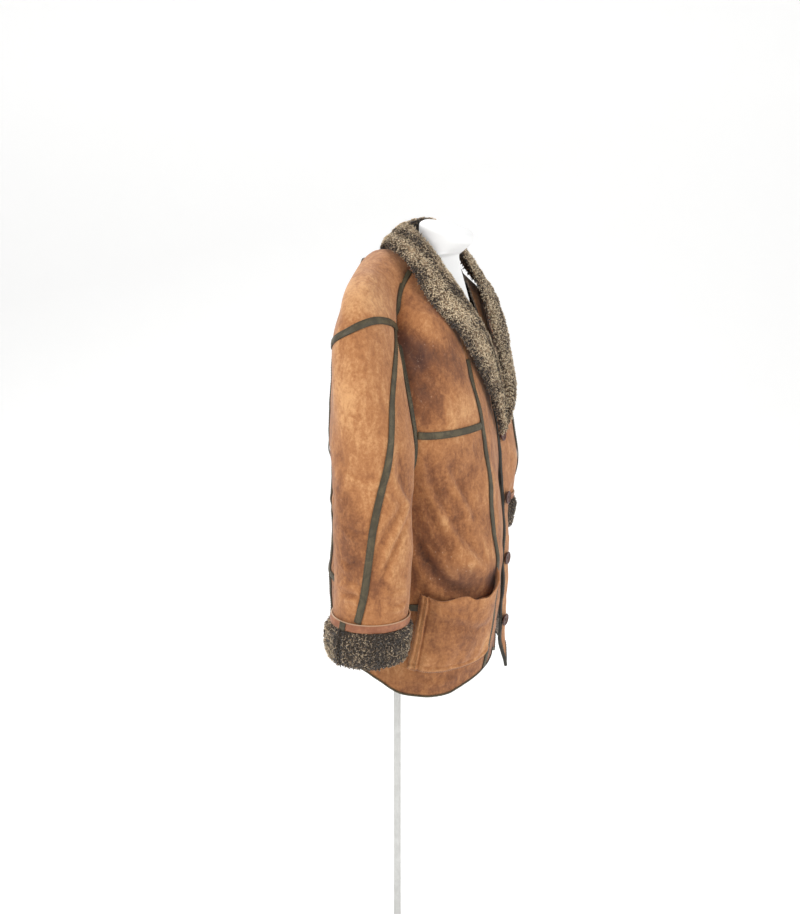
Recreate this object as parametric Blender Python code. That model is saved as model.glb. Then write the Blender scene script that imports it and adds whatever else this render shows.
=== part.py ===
"""Raglan shearling coat, wool side in, hanging open on a limbless dress form with a pole and a round base.

Points are worked out for the wearer's right half as (R, F, Z): R outwards to the wearer's right,
F forwards, Z up from the floor under the pole. The wearer faces -Y, so the right side is at -X.
"""
import math

import bmesh
import bpy
import numpy as np

# ---- driving dimensions, metres ----
WALL = 0.008            # suede with its clipped wool
SEAM_GAP = 0.0003       # between two pieces at a seam
LAY = 0.0008            # between a tape and the suede it lies on
TAPE_WIDTH = 0.0115
TAPE_WALL = 0.0014
BINDING_WALL = 0.0016
EDGE_R = 0.005          # front edges, from the centre line
PRINCESS_R = 0.100
BACK_SEAM_ANGLE = math.radians(126)
SIDE_ANGLE = math.radians(88)
SIDE_BACK = math.radians(9)      # how far the side seam swings back towards the hem
FRONT_POWER = 2.6       # squareness of the coat's horizontal sections
BACK_POWER = 2.3
SECTION_MID_F = 0.050
HIP_Z = 0.853
CHEST_Z = 1.135         # chest seam at the raglan seam
CHEST_DROOP = 0.009     # and its fall towards the front
BUTTONS = ((1.085, 0.0008), (0.977, 0.0015), (0.869, 0.0010), (0.761, 0.0014))   # height, rise of the shank
BUTTON_R = 0.0185       # from the centre line
BUTTON_RADIUS = 0.011
BUTTON = ((0.30, 0.0), (0.30, 0.0014), (0.92, 0.0016), (1.0, 0.0028), (0.90, 0.0047), (0.62, 0.0040))
CUFF_TOP_Z = 0.872
CUFF_BAND = 0.014
CUFF_LENGTH = 0.062
CUFF_WOOL = 0.013
POLE_RADIUS = 0.0065
BASE_RADIUS = 0.175
BASE_THICK = 0.012

# ---- the coat's horizontal sections: height, half width, front, back, dip at the front edges ----
BODY = np.array([
    # Z,    half_R, front_F, back_F, dip
    [0.640, 0.222, 0.186, -0.086, 0.006],
    [0.700, 0.220, 0.192, -0.090, 0.012],
    [0.760, 0.219, 0.203, -0.093, 0.022],
    [0.820, 0.217, 0.213, -0.093, 0.027],
    [0.880, 0.214, 0.217, -0.092, 0.029],
    [0.940, 0.210, 0.214, -0.090, 0.025],
    [1.000, 0.205, 0.206, -0.089, 0.022],
    [1.060, 0.205, 0.199, -0.089, 0.019],
    [1.120, 0.208, 0.192, -0.088, 0.017],
    [1.180, 0.207, 0.180, -0.086, 0.008],
    [1.240, 0.200, 0.166, -0.081, 0.002],
    [1.300, 0.184, 0.144, -0.067, 0.000],
    [1.340, 0.162, 0.116, -0.049, 0.000],
    [1.380, 0.125, 0.082, -0.030, 0.000],
    [1.420, 0.100, 0.060, -0.020, 0.000],
])

# ---- sleeve rings from the neck to the cuff, each an oval about a centre ----
# tilt turns the oval's outer end from straight up (0) to straight out (90); close is how far the
# ring runs past its front and back ends towards the underarm, where 90 closes it
SLEEVE = np.array([
    # R,     F,     Z,     tilt, front, back,  outer, inner, close
    [0.096, 0.014, 1.372,  6.0, 0.044, 0.036, 0.024, 0.020,  0.0],
    [0.128, 0.014, 1.343, 10.0, 0.038, 0.040, 0.046, 0.020,  0.0],
    [0.156, 0.016, 1.306, 16.0, 0.041, 0.043, 0.074, 0.025,  0.0],
    [0.180, 0.021, 1.262, 25.0, 0.048, 0.045, 0.112, 0.030,  0.0],
    [0.200, 0.029, 1.214, 36.0, 0.057, 0.048, 0.138, 0.035,  0.0],
    [0.219, 0.036, 1.168, 48.0, 0.066, 0.051, 0.124, 0.040,  6.0],
    [0.236, 0.043, 1.120, 62.0, 0.071, 0.053, 0.098, 0.042, 22.0],
    [0.250, 0.048, 1.075, 72.0, 0.070, 0.054, 0.082, 0.044, 50.0],
    [0.261, 0.052, 1.040, 80.0, 0.068, 0.055, 0.072, 0.046, 90.0],
    [0.272, 0.057, 1.005, 84.0, 0.066, 0.056, 0.066, 0.046, 90.0],
    [0.282, 0.062, 0.960, 88.0, 0.064, 0.057, 0.060, 0.048, 90.0],
    [0.288, 0.065, 0.915, 90.0, 0.062, 0.058, 0.057, 0.050, 90.0],
    [0.291, 0.063, 0.872, 90.0, 0.059, 0.057, 0.055, 0.051, 90.0],
    [0.291, 0.060, 0.845, 90.0, 0.057, 0.056, 0.054, 0.051, 90.0],
    [0.291, 0.057, 0.812, 90.0, 0.056, 0.055, 0.053, 0.051, 90.0],
])
UNDERARM = 8            # row of SLEEVE where the ring closes
CUFF_ROW = 12           # row of SLEEVE at the cuff's top edge

# ---- shawl collar: its roll at the neck and its outer edge, from the centre back to the lower end ----
COLLAR = np.array([
    # roll R, F,     Z,     edge R, F,      Z,     thick, camber
    [0.000, 0.026, 1.434, 0.000, -0.010, 1.392, 0.014, 0.005],
    [0.030, 0.032, 1.436, 0.046, -0.004, 1.391, 0.014, 0.005],
    [0.051, 0.050, 1.432, 0.084,  0.020, 1.3980, 0.015, 0.005],
    [0.061, 0.071, 1.417, 0.111,  0.047, 1.3895, 0.016, 0.007],
    [0.064, 0.091, 1.394, 0.125,  0.072, 1.370, 0.017, 0.009],
    [0.060, 0.112, 1.363, 0.131,  0.094, 1.337, 0.018, 0.012],
    [0.051, 0.132, 1.326, 0.130,  0.123, 1.305, 0.019, 0.014],
    [0.038, 0.150, 1.288, 0.118,  0.143, 1.281, 0.020, 0.014],
    [0.024, 0.164, 1.250, 0.100,  0.160, 1.246, 0.020, 0.014],
    [0.013, 0.175, 1.203, 0.078,  0.173, 1.203, 0.019, 0.013],
    [0.008, 0.182, 1.152, 0.052,  0.184, 1.158, 0.018, 0.011],
    [0.006, 0.185, 1.112, 0.028,  0.188, 1.118, 0.015, 0.007],
    [0.006, 0.185, 1.092, 0.016,  0.187, 1.094, 0.010, 0.004],
])

# ---- the dress form's rings, from the hip opening to the neck cap ----
# power is how full the ring is in front: 2 is an oval, less is fuller at the middle than beside it
FORM = np.array([
    # Z,     mid_F, half_R, front, back,  power
    [0.780,  0.045, 0.145,  0.090, 0.090, 2.3],
    [0.800,  0.045, 0.155,  0.098, 0.098, 2.3],
    [0.860,  0.045, 0.160,  0.102, 0.102, 2.3],
    [0.930,  0.045, 0.150,  0.096, 0.096, 2.3],
    [1.010,  0.047, 0.134,  0.088, 0.086, 2.3],
    [1.090,  0.047, 0.142,  0.096, 0.092, 2.3],
    [1.170,  0.045, 0.152,  0.100, 0.094, 2.2],
    [1.230,  0.042, 0.156,  0.100, 0.086, 2.0],
    [1.280,  0.034, 0.150,  0.098, 0.060, 1.55],
    [1.320,  0.022, 0.142,  0.100, 0.036, 1.25],
    [1.3600, 0.014, 0.130,  0.096, 0.020, 1.02],
    [1.3828, 0.018, 0.108,  0.088, 0.016, 1.05],
    [1.3920, 0.072, 0.050,  0.042, 0.040, 2.2],
    [1.400,  0.080, 0.046,  0.041, 0.041, 2.3],
    [1.412,  0.086, 0.045,  0.044, 0.044, 2.3],
])


def smooth(table, position):
    """Rows of a table read at fractional row numbers: Catmull-Rom, so the curve passes through each row."""
    table = np.asarray(table, float)
    position = np.clip(np.asarray(position, float), 0.0, len(table) - 1.0)
    low = np.minimum(position.astype(int), len(table) - 2)
    part = (position - low)[..., None]
    before = table[np.maximum(low - 1, 0)]
    start = table[low]
    end = table[low + 1]
    after = table[np.minimum(low + 2, len(table) - 1)]
    slope_in = (end - before) / 2
    slope_out = (after - start) / 2
    return ((2 * start - 2 * end + slope_in + slope_out) * part ** 3
            + (3 * end - 3 * start - 2 * slope_in - slope_out) * part ** 2
            + slope_in * part + start)


def by_height(table, height):
    """Rows of a table whose first column is a rising height, read at the given heights."""
    rows = np.interp(height, table[:, 0], np.arange(len(table)))
    return smooth(table, rows)


def unit(vectors):
    """Vectors scaled to length one."""
    length = np.linalg.norm(vectors, axis=-1, keepdims=True)
    return vectors / np.maximum(length, 1e-9)


def polar_radius(angle, half_r, deep, power):
    """Radius of a superellipse in polar form, measured from straight ahead."""
    beside = np.abs(np.sin(angle) / half_r) ** power
    ahead = np.abs(np.cos(angle) / deep) ** power
    return (beside + ahead) ** (-1 / power)


def body_surface(angle, height):
    """A point on the coat's outside: a polar superellipse in each section, dipped at the front edges."""
    row = by_height(BODY, height)
    half_r, front, back, dip = row[..., 1], row[..., 2], row[..., 3], row[..., 4]
    deep = np.where(np.cos(angle) > 0, front - SECTION_MID_F, SECTION_MID_F - back)
    power = np.where(np.cos(angle) > 0, FRONT_POWER, BACK_POWER)
    radius = polar_radius(angle, half_r, deep, power)
    right = radius * np.sin(angle)
    fore = SECTION_MID_F + radius * np.cos(angle)
    fore = fore - np.where(np.cos(angle) > 0, dip * np.exp(-(right / 0.055) ** 2), 0.0)
    return np.stack([right, fore, height + 0 * right], axis=-1)


def sleeve_surface(station, turn):
    """A point on the sleeve: an oval in the ring's plane, turn 0 at the front, 90 outside, 180 behind."""
    row = smooth(SLEEVE, station)
    tilt = np.radians(row[..., 3])
    across = np.cos(turn)
    outward = np.sin(turn)
    fore = np.where(across > 0, row[..., 4], row[..., 5]) * across
    out = np.where(outward > 0, row[..., 6], row[..., 7]) * outward
    return np.stack([row[..., 0] + out * np.sin(tilt),
                     row[..., 1] + fore,
                     row[..., 2] + out * np.cos(tilt)], axis=-1)


def ring_end(station, front):
    """The turn at which a ring meets the raglan seam, in front or behind."""
    close = np.radians(np.clip(smooth(SLEEVE, station)[..., 8], 0, 90))
    return -close if front else math.pi + close


# ---- the seams as rows shared by the pieces on both sides of them ----
CAP_FRONT = 2.45         # sleeve station of the cap seam at the front and back raglan seams
CAP_BACK = 3.75
CAP_RISE = 1.20          # how much further out it runs over the shoulder
SHOULDER_ROWS = 5
CAP_ROWS = 9
LOWER_ROWS = 9
BODY_ROWS = 9            # from hem to underarm
HIP_ROW = 4

front_stations = np.concatenate([np.linspace(0, CAP_FRONT, SHOULDER_ROWS + 1),
                                 np.linspace(CAP_FRONT, UNDERARM, CAP_ROWS + 1)[1:]])
back_stations = np.concatenate([np.linspace(0, CAP_BACK, SHOULDER_ROWS + 1),
                                np.linspace(CAP_BACK, UNDERARM, CAP_ROWS + 1)[1:]])
lower_stations = np.linspace(UNDERARM, CUFF_ROW, LOWER_ROWS + 1)[1:]
TURNS_FRONT = 5
TURNS_BACK = 7


def seam_turn(station):
    """Where the taped sleeve seam runs: from the front of the cap to the outside of the cuff."""
    part = np.clip((station - CAP_FRONT) / (CUFF_ROW - CAP_FRONT), 0, 1)
    return np.radians(6 + 84 * part ** 0.85)


def sleeve_grid():
    """The whole sleeve as rows from neck to cuff, columns from the front raglan seam round to the back.

    Row stations run from the front list to the back list and bulge outwards over the shoulder, so that
    one row is the cap seam and both ends of each row are shared with the body's rows.
    """
    last = len(front_stations) - 1
    rows = []
    for number in range(last + 1 + LOWER_ROWS):
        if number <= last:
            start, end = front_stations[number], back_stations[number]
            bulge = CAP_RISE * np.interp(number, [0, SHOULDER_ROWS, last], [0, 1, 0])
        else:
            start = end = lower_stations[number - last - 1]
            bulge = 0.0
        low = ring_end(start, True)
        high = ring_end(end, False)
        split = seam_turn(start + 0.4 * bulge)
        turn = np.concatenate([np.linspace(low, split, TURNS_FRONT + 1),
                               np.linspace(split, high, TURNS_BACK + 1)[1:]])
        part = np.clip(turn / math.pi, 0, 1)
        station = start + (end - start) * part + bulge * np.sin(part * math.pi) ** 1.2
        rows.append(sleeve_surface(station, turn))
    return np.array(rows)


def hem_height(angle):
    """The hem's height round the body: level at the sides, rising behind and at the princess seam."""
    degrees = np.degrees(angle)
    return np.interp(degrees, [0, 12, 24, 42, 60, 80, 95, 125, 180],
                     [0.708, 0.726, 0.724, 0.712, 0.6975, 0.7030, 0.734, 0.757, 0.757])


def hip_height(angle):
    """The hip seam's height, a little higher behind."""
    return HIP_Z + 0.031 * np.clip((np.degrees(angle) - 90) / 60, 0, 1)


NECK_EDGE = np.array([
    # Z,    R,     F of the front's inner edge, under the collar
    [1.060, 0.005, 0.178],
    [1.110, 0.005, 0.173],
    [1.150, 0.010, 0.166],
    [1.200, 0.020, 0.158],
    [1.250, 0.034, 0.144],
    [1.290, 0.050, 0.127],
    [1.330, 0.066, 0.107],
    [1.372, 0.080, 0.080],
])
RAGLAN_TOP_Z = 1.372     # where both raglan seams meet the neck seam
BACK_NECK_F = -0.016     # the back's top edge at the centre
BACK_NECK_Z = 1.378

BAND_COLUMNS = 3
FRONT_COLUMNS = 8
SIDE_BACK_COLUMNS = 4
CENTRE_BACK_COLUMNS = 5


def inner_edge(height):
    """The front's inner edge: straight down the centre, and along the neck seam above the lapel."""
    point = body_surface(math.atan(EDGE_R / 0.14), height)
    if height <= NECK_EDGE[0, 0]:
        return point
    neck = np.array([*by_height(NECK_EDGE, height)[1:], height])
    part = np.clip((height - NECK_EDGE[0, 0]) / 0.05, 0, 1)
    return point + part * (neck - point)


def side_angle(height):
    """The side seam's angle, swinging back below the hip."""
    low = np.clip((0.90 - height) / 0.20, 0, 1)
    return SIDE_ANGLE + SIDE_BACK * low * low * (3 - 2 * low)


def side_point(number):
    """The side seam's point on a row below the underarm."""
    angle = side_angle(lower_height(number, SIDE_ANGLE))
    height = float(lower_height(number, angle))
    under = sleeve_surface(float(UNDERARM), -math.pi / 2)
    part = np.clip((height - 0.90) / (under[2] - 0.90), 0, 1)
    part = part * part * (3 - 2 * part)
    return body_surface(angle, height) + part * (under - body_surface(SIDE_ANGLE, under[2]))


def pulled_row(angles, heights, first, last):
    """A body row whose two ends are pulled on to given points, each pull fading out over the panel."""
    points = body_surface(angles, heights)
    reach = np.linspace(0, 1, len(angles))[:, None]
    out_last = np.clip((reach - 0.20) / 0.80, 0, 1) ** 1.5
    out_first = np.clip((0.80 - reach) / 0.80, 0, 1) ** 1.5
    near = np.linalg.norm(last - first)
    straight = first + reach * (last - first)
    curved = points + out_first * (first - points[0]) + out_last * (last - points[-1])
    share = np.clip((near - 0.03) / 0.08, 0, 1)
    return straight + share * (curved - straight)


def polar(point):
    """The angle of a point about the middle of the coat."""
    return math.atan2(point[0], point[1] - SECTION_MID_F)


def front_angles(inner, outer, height):
    """Column angles of a front row: the band's columns, then the panel's, out to its end."""
    deep = by_height(BODY, height)[..., 2] - SECTION_MID_F
    start, stop = polar(inner), polar(outer)
    princess = math.atan(PRINCESS_R / (0.965 * deep))
    princess = min(princess, start + 0.62 * (stop - start))
    return np.concatenate([np.linspace(start, princess, BAND_COLUMNS + 1),
                           np.linspace(princess, stop, FRONT_COLUMNS + 1)[1:]])


def back_angles(outer):
    """Column angles of a back row: the side back's columns, then the centre back's."""
    start = polar(outer)
    split = max(BACK_SEAM_ANGLE, start + 0.25 * (math.pi - start))
    return np.concatenate([np.linspace(start, split, SIDE_BACK_COLUMNS + 1),
                           np.linspace(split, math.pi, CENTRE_BACK_COLUMNS + 1)[1:]])


def lower_height(number, angle):
    """Height of a row between the hem and the underarm."""
    low, hip = hem_height(angle), hip_height(angle)
    under_z = sleeve_surface(float(UNDERARM), -math.pi / 2)[2]
    if number <= HIP_ROW:
        return low + (hip - low) * number / HIP_ROW
    return hip + (under_z - hip) * (number - HIP_ROW) / (BODY_ROWS - HIP_ROW)


def front_grid():
    """The right front from hem to neck, columns from the front edge to the side or raglan seam."""
    rows = []
    for number in range(BODY_ROWS):
        side = side_point(number)
        inner = inner_edge(float(lower_height(number, 0.0)))
        angles = front_angles(inner, side, side[2])
        rows.append(pulled_row(angles, lower_height(number, angles), inner, side))
    for station in front_stations[::-1]:
        outer = sleeve_surface(station, ring_end(station, True))
        inner = inner_edge(float(outer[2]))
        angles = front_angles(inner, outer, outer[2])
        droop = CHEST_DROOP * np.clip(1 - abs(outer[2] - CHEST_Z) / 0.10, 0, 1)
        heights = outer[2] - droop * np.linspace(1, 0, len(angles)) ** 0.6
        rows.append(pulled_row(angles, heights, inner_edge(float(heights[0])), outer))
    return np.array(rows)


def back_grid():
    """The right back from hem to neck, columns from the side or raglan seam to the centre back."""
    rows = []
    for number in range(BODY_ROWS):
        side = side_point(number)
        angles = back_angles(side)
        heights = lower_height(number, angles)
        centre = body_surface(math.pi, float(heights[-1]))
        rows.append(pulled_row(angles, heights, side, centre))
    for station in back_stations[::-1]:
        outer = sleeve_surface(station, ring_end(station, False))
        angles = back_angles(outer)
        part = np.clip(1 - (RAGLAN_TOP_Z - outer[2]) / 0.122, 0, 1)
        heights = outer[2] + (BACK_NECK_Z - RAGLAN_TOP_Z) * part * np.linspace(0, 1, len(angles))
        centre = body_surface(math.pi, float(heights[-1]))
        centre[1] = centre[1] + part ** 2 * (BACK_NECK_F - centre[1])
        rows.append(pulled_row(angles, heights, outer, centre))
    return np.array(rows)


def row_column_normals(points, flip):
    """Outward unit normals of a grid, across its rows and columns."""
    normal = unit(np.cross(np.gradient(points, axis=0), np.gradient(points, axis=1)))
    return -normal if flip else normal


def shared_normals(front, back, sleeve):
    """Normals of the three grids, made equal where pieces meet at a seam."""
    front_n = row_column_normals(front, False)
    back_n = row_column_normals(back, False)
    sleeve_n = row_column_normals(sleeve, True)
    last = len(front_stations) - 1
    for number in range(BODY_ROWS):
        both = unit(front_n[number, -1] + back_n[number, 0])
        front_n[number, -1] = both
        back_n[number, 0] = both
    for number in range(last):
        row = BODY_ROWS + last - number
        both = unit(front_n[row, -1] + sleeve_n[number, 0])
        front_n[row, -1] = both
        sleeve_n[number, 0] = both
        both = unit(back_n[row, 0] + sleeve_n[number, -1])
        back_n[row, 0] = both
        sleeve_n[number, -1] = both
    under = np.array([0.0, 0.0, -1.0])
    front_n[BODY_ROWS, -1] = under
    back_n[BODY_ROWS, 0] = under
    sleeve_n[last, 0] = under
    sleeve_n[last, -1] = under
    for number in range(last + 1, len(sleeve)):
        both = unit(sleeve_n[number, 0] + sleeve_n[number, -1])
        sleeve_n[number, 0] = both
        sleeve_n[number, -1] = both
    back_n[:, -1, 0] = 0
    return front_n, unit(back_n), sleeve_n


# ---- from the right half's points to solids in the world ----
SIDES = {"R": -1.0, "L": 1.0}
SHOULDER_TURN = 0.11     # how far the left shoulder is turned back, for each metre out
FRONT_SWING = 0.030      # how far the left front's lower corner swings out,
FRONT_FORWARD = 0.010    # forwards,
FRONT_DROP = 0.044       # and down
FRONT_FLATTEN = 0.30     # the left front lies this much flatter than the right, whose pocket stands out
CUFF_LIFT = 0.030        # the left hand hangs this much higher


def eased(value):
    """A ramp from 0 to 1 with soft ends."""
    value = np.clip(value, 0, 1)
    return value * value * (3 - 2 * value)


def hang_left(points, region):
    """How the left half hangs unlike the right: its shoulder is turned back, its front lies flatter with
    the lower corner swung out and down, and its forearm is drawn up."""
    turned = SHOULDER_TURN * eased((points[..., 2] - 0.93) / 0.17) * points[..., 0]
    moved = points - turned[..., None] * np.array([0.0, 1.0, 0.0])
    if region == "form":
        return moved
    if region == "sleeve":
        part = eased((1.02 - points[..., 2]) / 0.20)
        return moved + part[..., None] * np.array([0.004, 0.0, CUFF_LIFT])
    ahead = np.maximum(points[..., 1] - SECTION_MID_F, 0)
    level = eased((1.030 - points[..., 2]) / 0.10)
    beside = eased((points[..., 0] - 0.010) / 0.085)
    moved = moved - (FRONT_FLATTEN * level * beside * ahead)[..., None] * np.array([0.0, 1.0, 0.0])
    low = np.clip((0.79 - points[..., 2]) / 0.082, 0, 1.6)
    near = np.clip(1 - points[..., 0] / 0.205, 0, 1) * eased(ahead / 0.08)
    amount = low ** 2 * near ** 1.5
    return moved + amount[..., None] * np.array([FRONT_SWING, FRONT_FORWARD, -FRONT_DROP])


def to_world(points, side):
    """Right-half points turned to face -Y, or mirrored for the left."""
    return np.asarray(points, float) * np.array([SIDES[side], -1.0, 1.0])


def material(name, colour, roughness, metallic=0.0):
    """A plain Principled material, made once for each name."""
    found = bpy.data.materials.get(name)
    if found:
        return found
    made = bpy.data.materials.new(name)
    made.use_nodes = True
    shader = made.node_tree.nodes["Principled BSDF"]
    shader.inputs["Base Color"].default_value = (*colour, 1)
    shader.inputs["Roughness"].default_value = roughness
    shader.inputs["Metallic"].default_value = metallic
    return made


def suede():
    return material("suede", (0.50, 0.24, 0.09), 0.9)


def tape_leather():
    return material("tape_leather", (0.10, 0.09, 0.055), 0.55)


def wool():
    return material("wool", (0.13, 0.09, 0.06), 0.95)


def band_leather():
    return material("band_leather", (0.33, 0.12, 0.05), 0.6)


def button_horn():
    return material("button_horn", (0.12, 0.03, 0.02), 0.3)


def form_cover():
    return material("form_cover", (0.82, 0.81, 0.79), 0.6)


def stand_paint():
    return material("stand_paint", (0.80, 0.80, 0.79), 0.35)


def add_object(name, points, faces, finish):
    """One closed mesh object with its faces turned outwards and shaded smooth."""
    mesh = bpy.data.meshes.new(name)
    mesh.from_pydata([tuple(p) for p in points], [], faces)
    shape = bmesh.new()
    shape.from_mesh(mesh)
    bmesh.ops.recalc_face_normals(shape, faces=shape.faces)
    shape.to_mesh(mesh)
    shape.free()
    mesh.materials.append(finish)
    mesh.shade_smooth()
    mesh.set_sharp_from_angle(angle=math.radians(50))
    made = bpy.data.objects.new(name, mesh)
    bpy.context.scene.collection.objects.link(made)
    return made


def grid_faces(rows, columns, offset, wrap=False):
    """Quads of a grid of points, wrapping round its columns if asked."""
    faces = []
    for i in range(rows - 1):
        for j in range(columns if wrap else columns - 1):
            k = (j + 1) % columns
            faces.append((offset + i * columns + j, offset + i * columns + k,
                          offset + (i + 1) * columns + k, offset + (i + 1) * columns + j))
    return faces


def pulled_in(points, normals, gap):
    """A grid whose four borders are moved in, square to their normals, by half a seam's gap."""
    moved = points.copy()
    for here, next_in in ((0, 1), (-1, -2)):
        for axis in (0, 1):
            pick = (here, slice(None)) if axis == 0 else (slice(None), here)
            beside = (next_in, slice(None)) if axis == 0 else (slice(None), next_in)
            step = points[beside] - points[pick]
            normal = normals[pick]
            flat = step - normal * np.sum(step * normal, axis=-1, keepdims=True)
            moved[pick] += unit(flat) * gap / 2
    return moved


def slab(name, points, normals, wall, finish, side, gap=SEAM_GAP):
    """A piece of cloth as a closed wall: the outer grid, the inner grid, and the four edges."""
    rows, columns = points.shape[:2]
    outer = pulled_in(points, normals, gap)
    inner = outer - normals * wall
    count = rows * columns
    faces = grid_faces(rows, columns, 0) + [f[::-1] for f in grid_faces(rows, columns, count)]
    border = [(0, j) for j in range(columns)] + [(i, columns - 1) for i in range(1, rows)]
    border += [(rows - 1, j) for j in range(columns - 2, -1, -1)] + [(i, 0) for i in range(rows - 2, 0, -1)]
    ring = [i * columns + j for i, j in border]
    both = np.concatenate([outer.reshape(-1, 3), inner.reshape(-1, 3)])
    order = points.reshape(-1, 3) @ np.array([1.0, 2.0, 3.0])
    for here, there in zip(ring, ring[1:] + ring[:1]):
        if order[here] < order[there]:
            faces += [(there, here, there + count), (here, here + count, there + count)]
        else:
            faces += [(there, here, here + count), (there, here + count, there + count)]
    return add_object(name, to_world(both, side), faces, finish)


def swept(name, sections, finish, side, closed=False):
    """A closed section carried along a path, capped at both ends or joined into a ring."""
    rows, columns = sections.shape[:2]
    faces = grid_faces(rows, columns, 0, wrap=True)
    if closed:
        for j in range(columns):
            k = (j + 1) % columns
            last = (rows - 1) * columns
            faces.append((last + j, last + k, k, j))
    else:
        faces.append(tuple(range(columns)))
        faces.append(tuple(range(rows * columns - 1, (rows - 1) * columns - 1, -1)))
    return add_object(name, to_world(sections.reshape(-1, 3), side), faces, finish)


def strip_sections(seam, first_side, second_side, normals, width, lay, wall):
    """Sections of a tape over a seam: each half lies along its own panel and rises from it."""
    along = unit(np.gradient(seam, axis=0))
    arms, ups = [], []
    for side in (first_side, second_side):
        arm = unit(side - seam)
        up = unit(np.cross(along, arm))
        up = up * np.where(np.sum(up * normals, axis=-1, keepdims=True) < 0, -1.0, 1.0)
        arms.append(seam + unit(arm) * width / 2)
        ups.append(up)
    middle = unit(ups[0] + ups[1])
    middle = middle / np.clip(np.sum(middle * ups[0], axis=-1, keepdims=True), 0.45, 1.0)
    return np.stack([arms[0] + ups[0] * lay, seam + middle * lay, arms[1] + ups[1] * lay,
                     arms[1] + ups[1] * (lay + wall * 0.6), seam + middle * (lay + wall),
                     arms[0] + ups[0] * (lay + wall * 0.6)], axis=1)


def shortened(line, start, end):
    """Sections of a tape whose first and last are moved along it to stop short of a crossing tape."""
    moved = line.copy()
    if start:
        moved[0] += unit(line[1] - line[0]) * start
    if end:
        moved[-1] += unit(line[-2] - line[-1]) * end
    return moved


CROSSING = TAPE_WIDTH / 2 + 0.0006
FOLD_LAY = 0.0017        # a tape down in the fold of the raglan seam stands off a little more
BACK_FOLD_LAY = 0.0012
HEM_CLEAR = 0.0022       # tapes stop just above the hem's binding


def tape(name, seam, first_side, second_side, normals, side, start=0.0, end=0.0, lay=LAY):
    """A leather tape over one seam."""
    sections = strip_sections(seam, first_side, second_side, normals, TAPE_WIDTH, lay, TAPE_WALL)
    return swept(name, shortened(sections, start, end), tape_leather(), side)


# ---- the pieces ----
CHEST_ROW = BODY_ROWS + 4
PRINCESS_TOP_Z = 1.235
POCKET_FRONT_COLUMN = BAND_COLUMNS + 0.32
POCKET_SIDE_COLUMN = BAND_COLUMNS + 5.8
POCKET_WALL = 0.005
POCKET_GAPE = {"R": 1.0, "L": 0.15}
POCKET_ROWS = 8
POCKET_COLUMNS = 9
POCKET = np.array([
    # share from front to side, bottom Z, top Z, how far the mouth gapes
    [0.00, 0.752, 0.886, 0.000],
    [0.10, 0.744, 0.868, 0.012],
    [0.25, 0.742, 0.856, 0.022],
    [0.50, 0.741, 0.852, 0.018],
    [0.75, 0.742, 0.858, 0.010],
    [1.00, 0.750, 0.868, 0.000],
])


def at_grid(points, row, column):
    """Points of a grid read at fractional rows and columns, on its flat facets."""
    i = np.clip(row.astype(int), 0, points.shape[0] - 2)
    j = np.clip(column.astype(int), 0, points.shape[1] - 2)
    v = (row - i)[..., None]
    u = (column - j)[..., None]
    low = points[i, j] * (1 - u) + points[i, j + 1] * u
    high = points[i + 1, j] * (1 - u) + points[i + 1, j + 1] * u
    return low * (1 - v) + high * v


def row_at_height(points, height, column):
    """The fractional row at which each column of a grid reaches a height."""
    rows = np.arange(points.shape[0], dtype=float)
    found = np.empty_like(height)
    for index in np.ndindex(height.shape):
        line = at_grid(points, rows, np.full(len(rows), column[index]))[:, 2]
        found[index] = np.interp(height[index], line, rows)
    return found


def make_front(side, front, normals):
    """The front band in one length, and the panel beside it cut at the hip and the chest."""
    b = BAND_COLUMNS
    slab(f"front_band_{side}", front[:, :b + 1], normals[:, :b + 1], WALL, suede(), side)
    cuts = {"lower": (0, HIP_ROW), "middle": (HIP_ROW, CHEST_ROW), "upper": (CHEST_ROW, len(front) - 1)}
    for name, (low, high) in cuts.items():
        slab(f"front_{name}_{side}", front[low:high + 1, b:], normals[low:high + 1, b:], WALL, suede(), side)


def make_side_back(side, back, normals):
    """The side back, cut at the hip."""
    c = SIDE_BACK_COLUMNS
    for name, rows in (("lower", slice(0, HIP_ROW + 1)), ("upper", slice(HIP_ROW, None))):
        slab(f"back_side_{name}_{side}", back[rows, :c + 1], normals[rows, :c + 1], WALL, suede(), side)


def both_halves(right, left, first_row, last_row):
    """The centre back's rows from the right back seam across to the left one."""
    mirror = np.array([-1.0, 1.0, 1.0])
    c = SIDE_BACK_COLUMNS
    return np.concatenate([right[first_row:last_row, c:], (left[first_row:last_row, c:-1] * mirror)[:, ::-1]],
                          axis=1)


def make_centre_back(halves):
    """The centre back in one width from seam to seam, cut at the hip, with the hip tape across it."""
    right, left = halves["R"], halves["L"]
    rows = len(right["back"])
    points = both_halves(right["back"], left["back"], 0, rows)
    outward = both_halves(right["back_n"], left["back_n"], 0, rows)
    slab("back_centre_lower", points[:HIP_ROW + 1], outward[:HIP_ROW + 1], WALL, suede(), "R")
    slab("back_centre_upper", points[HIP_ROW:], outward[HIP_ROW:], WALL, suede(), "R")
    tape("tape_hip_centre", points[HIP_ROW], points[HIP_ROW - 1], points[HIP_ROW + 1], outward[HIP_ROW], "R",
         CROSSING, CROSSING)


def make_sleeve(side, sleeve, normals):
    """The shoulder down to the cap seam, then the sleeve's front and back pieces down into the cuff."""
    cap, split = SHOULDER_ROWS, TURNS_FRONT
    slab(f"shoulder_{side}", sleeve[:cap + 1], normals[:cap + 1], WALL, suede(), side)
    slab(f"sleeve_front_{side}", sleeve[cap:, :split + 1], normals[cap:, :split + 1], WALL, suede(), side)
    slab(f"sleeve_back_{side}", sleeve[cap:, split:], normals[cap:, split:], WALL, suede(), side)


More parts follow.
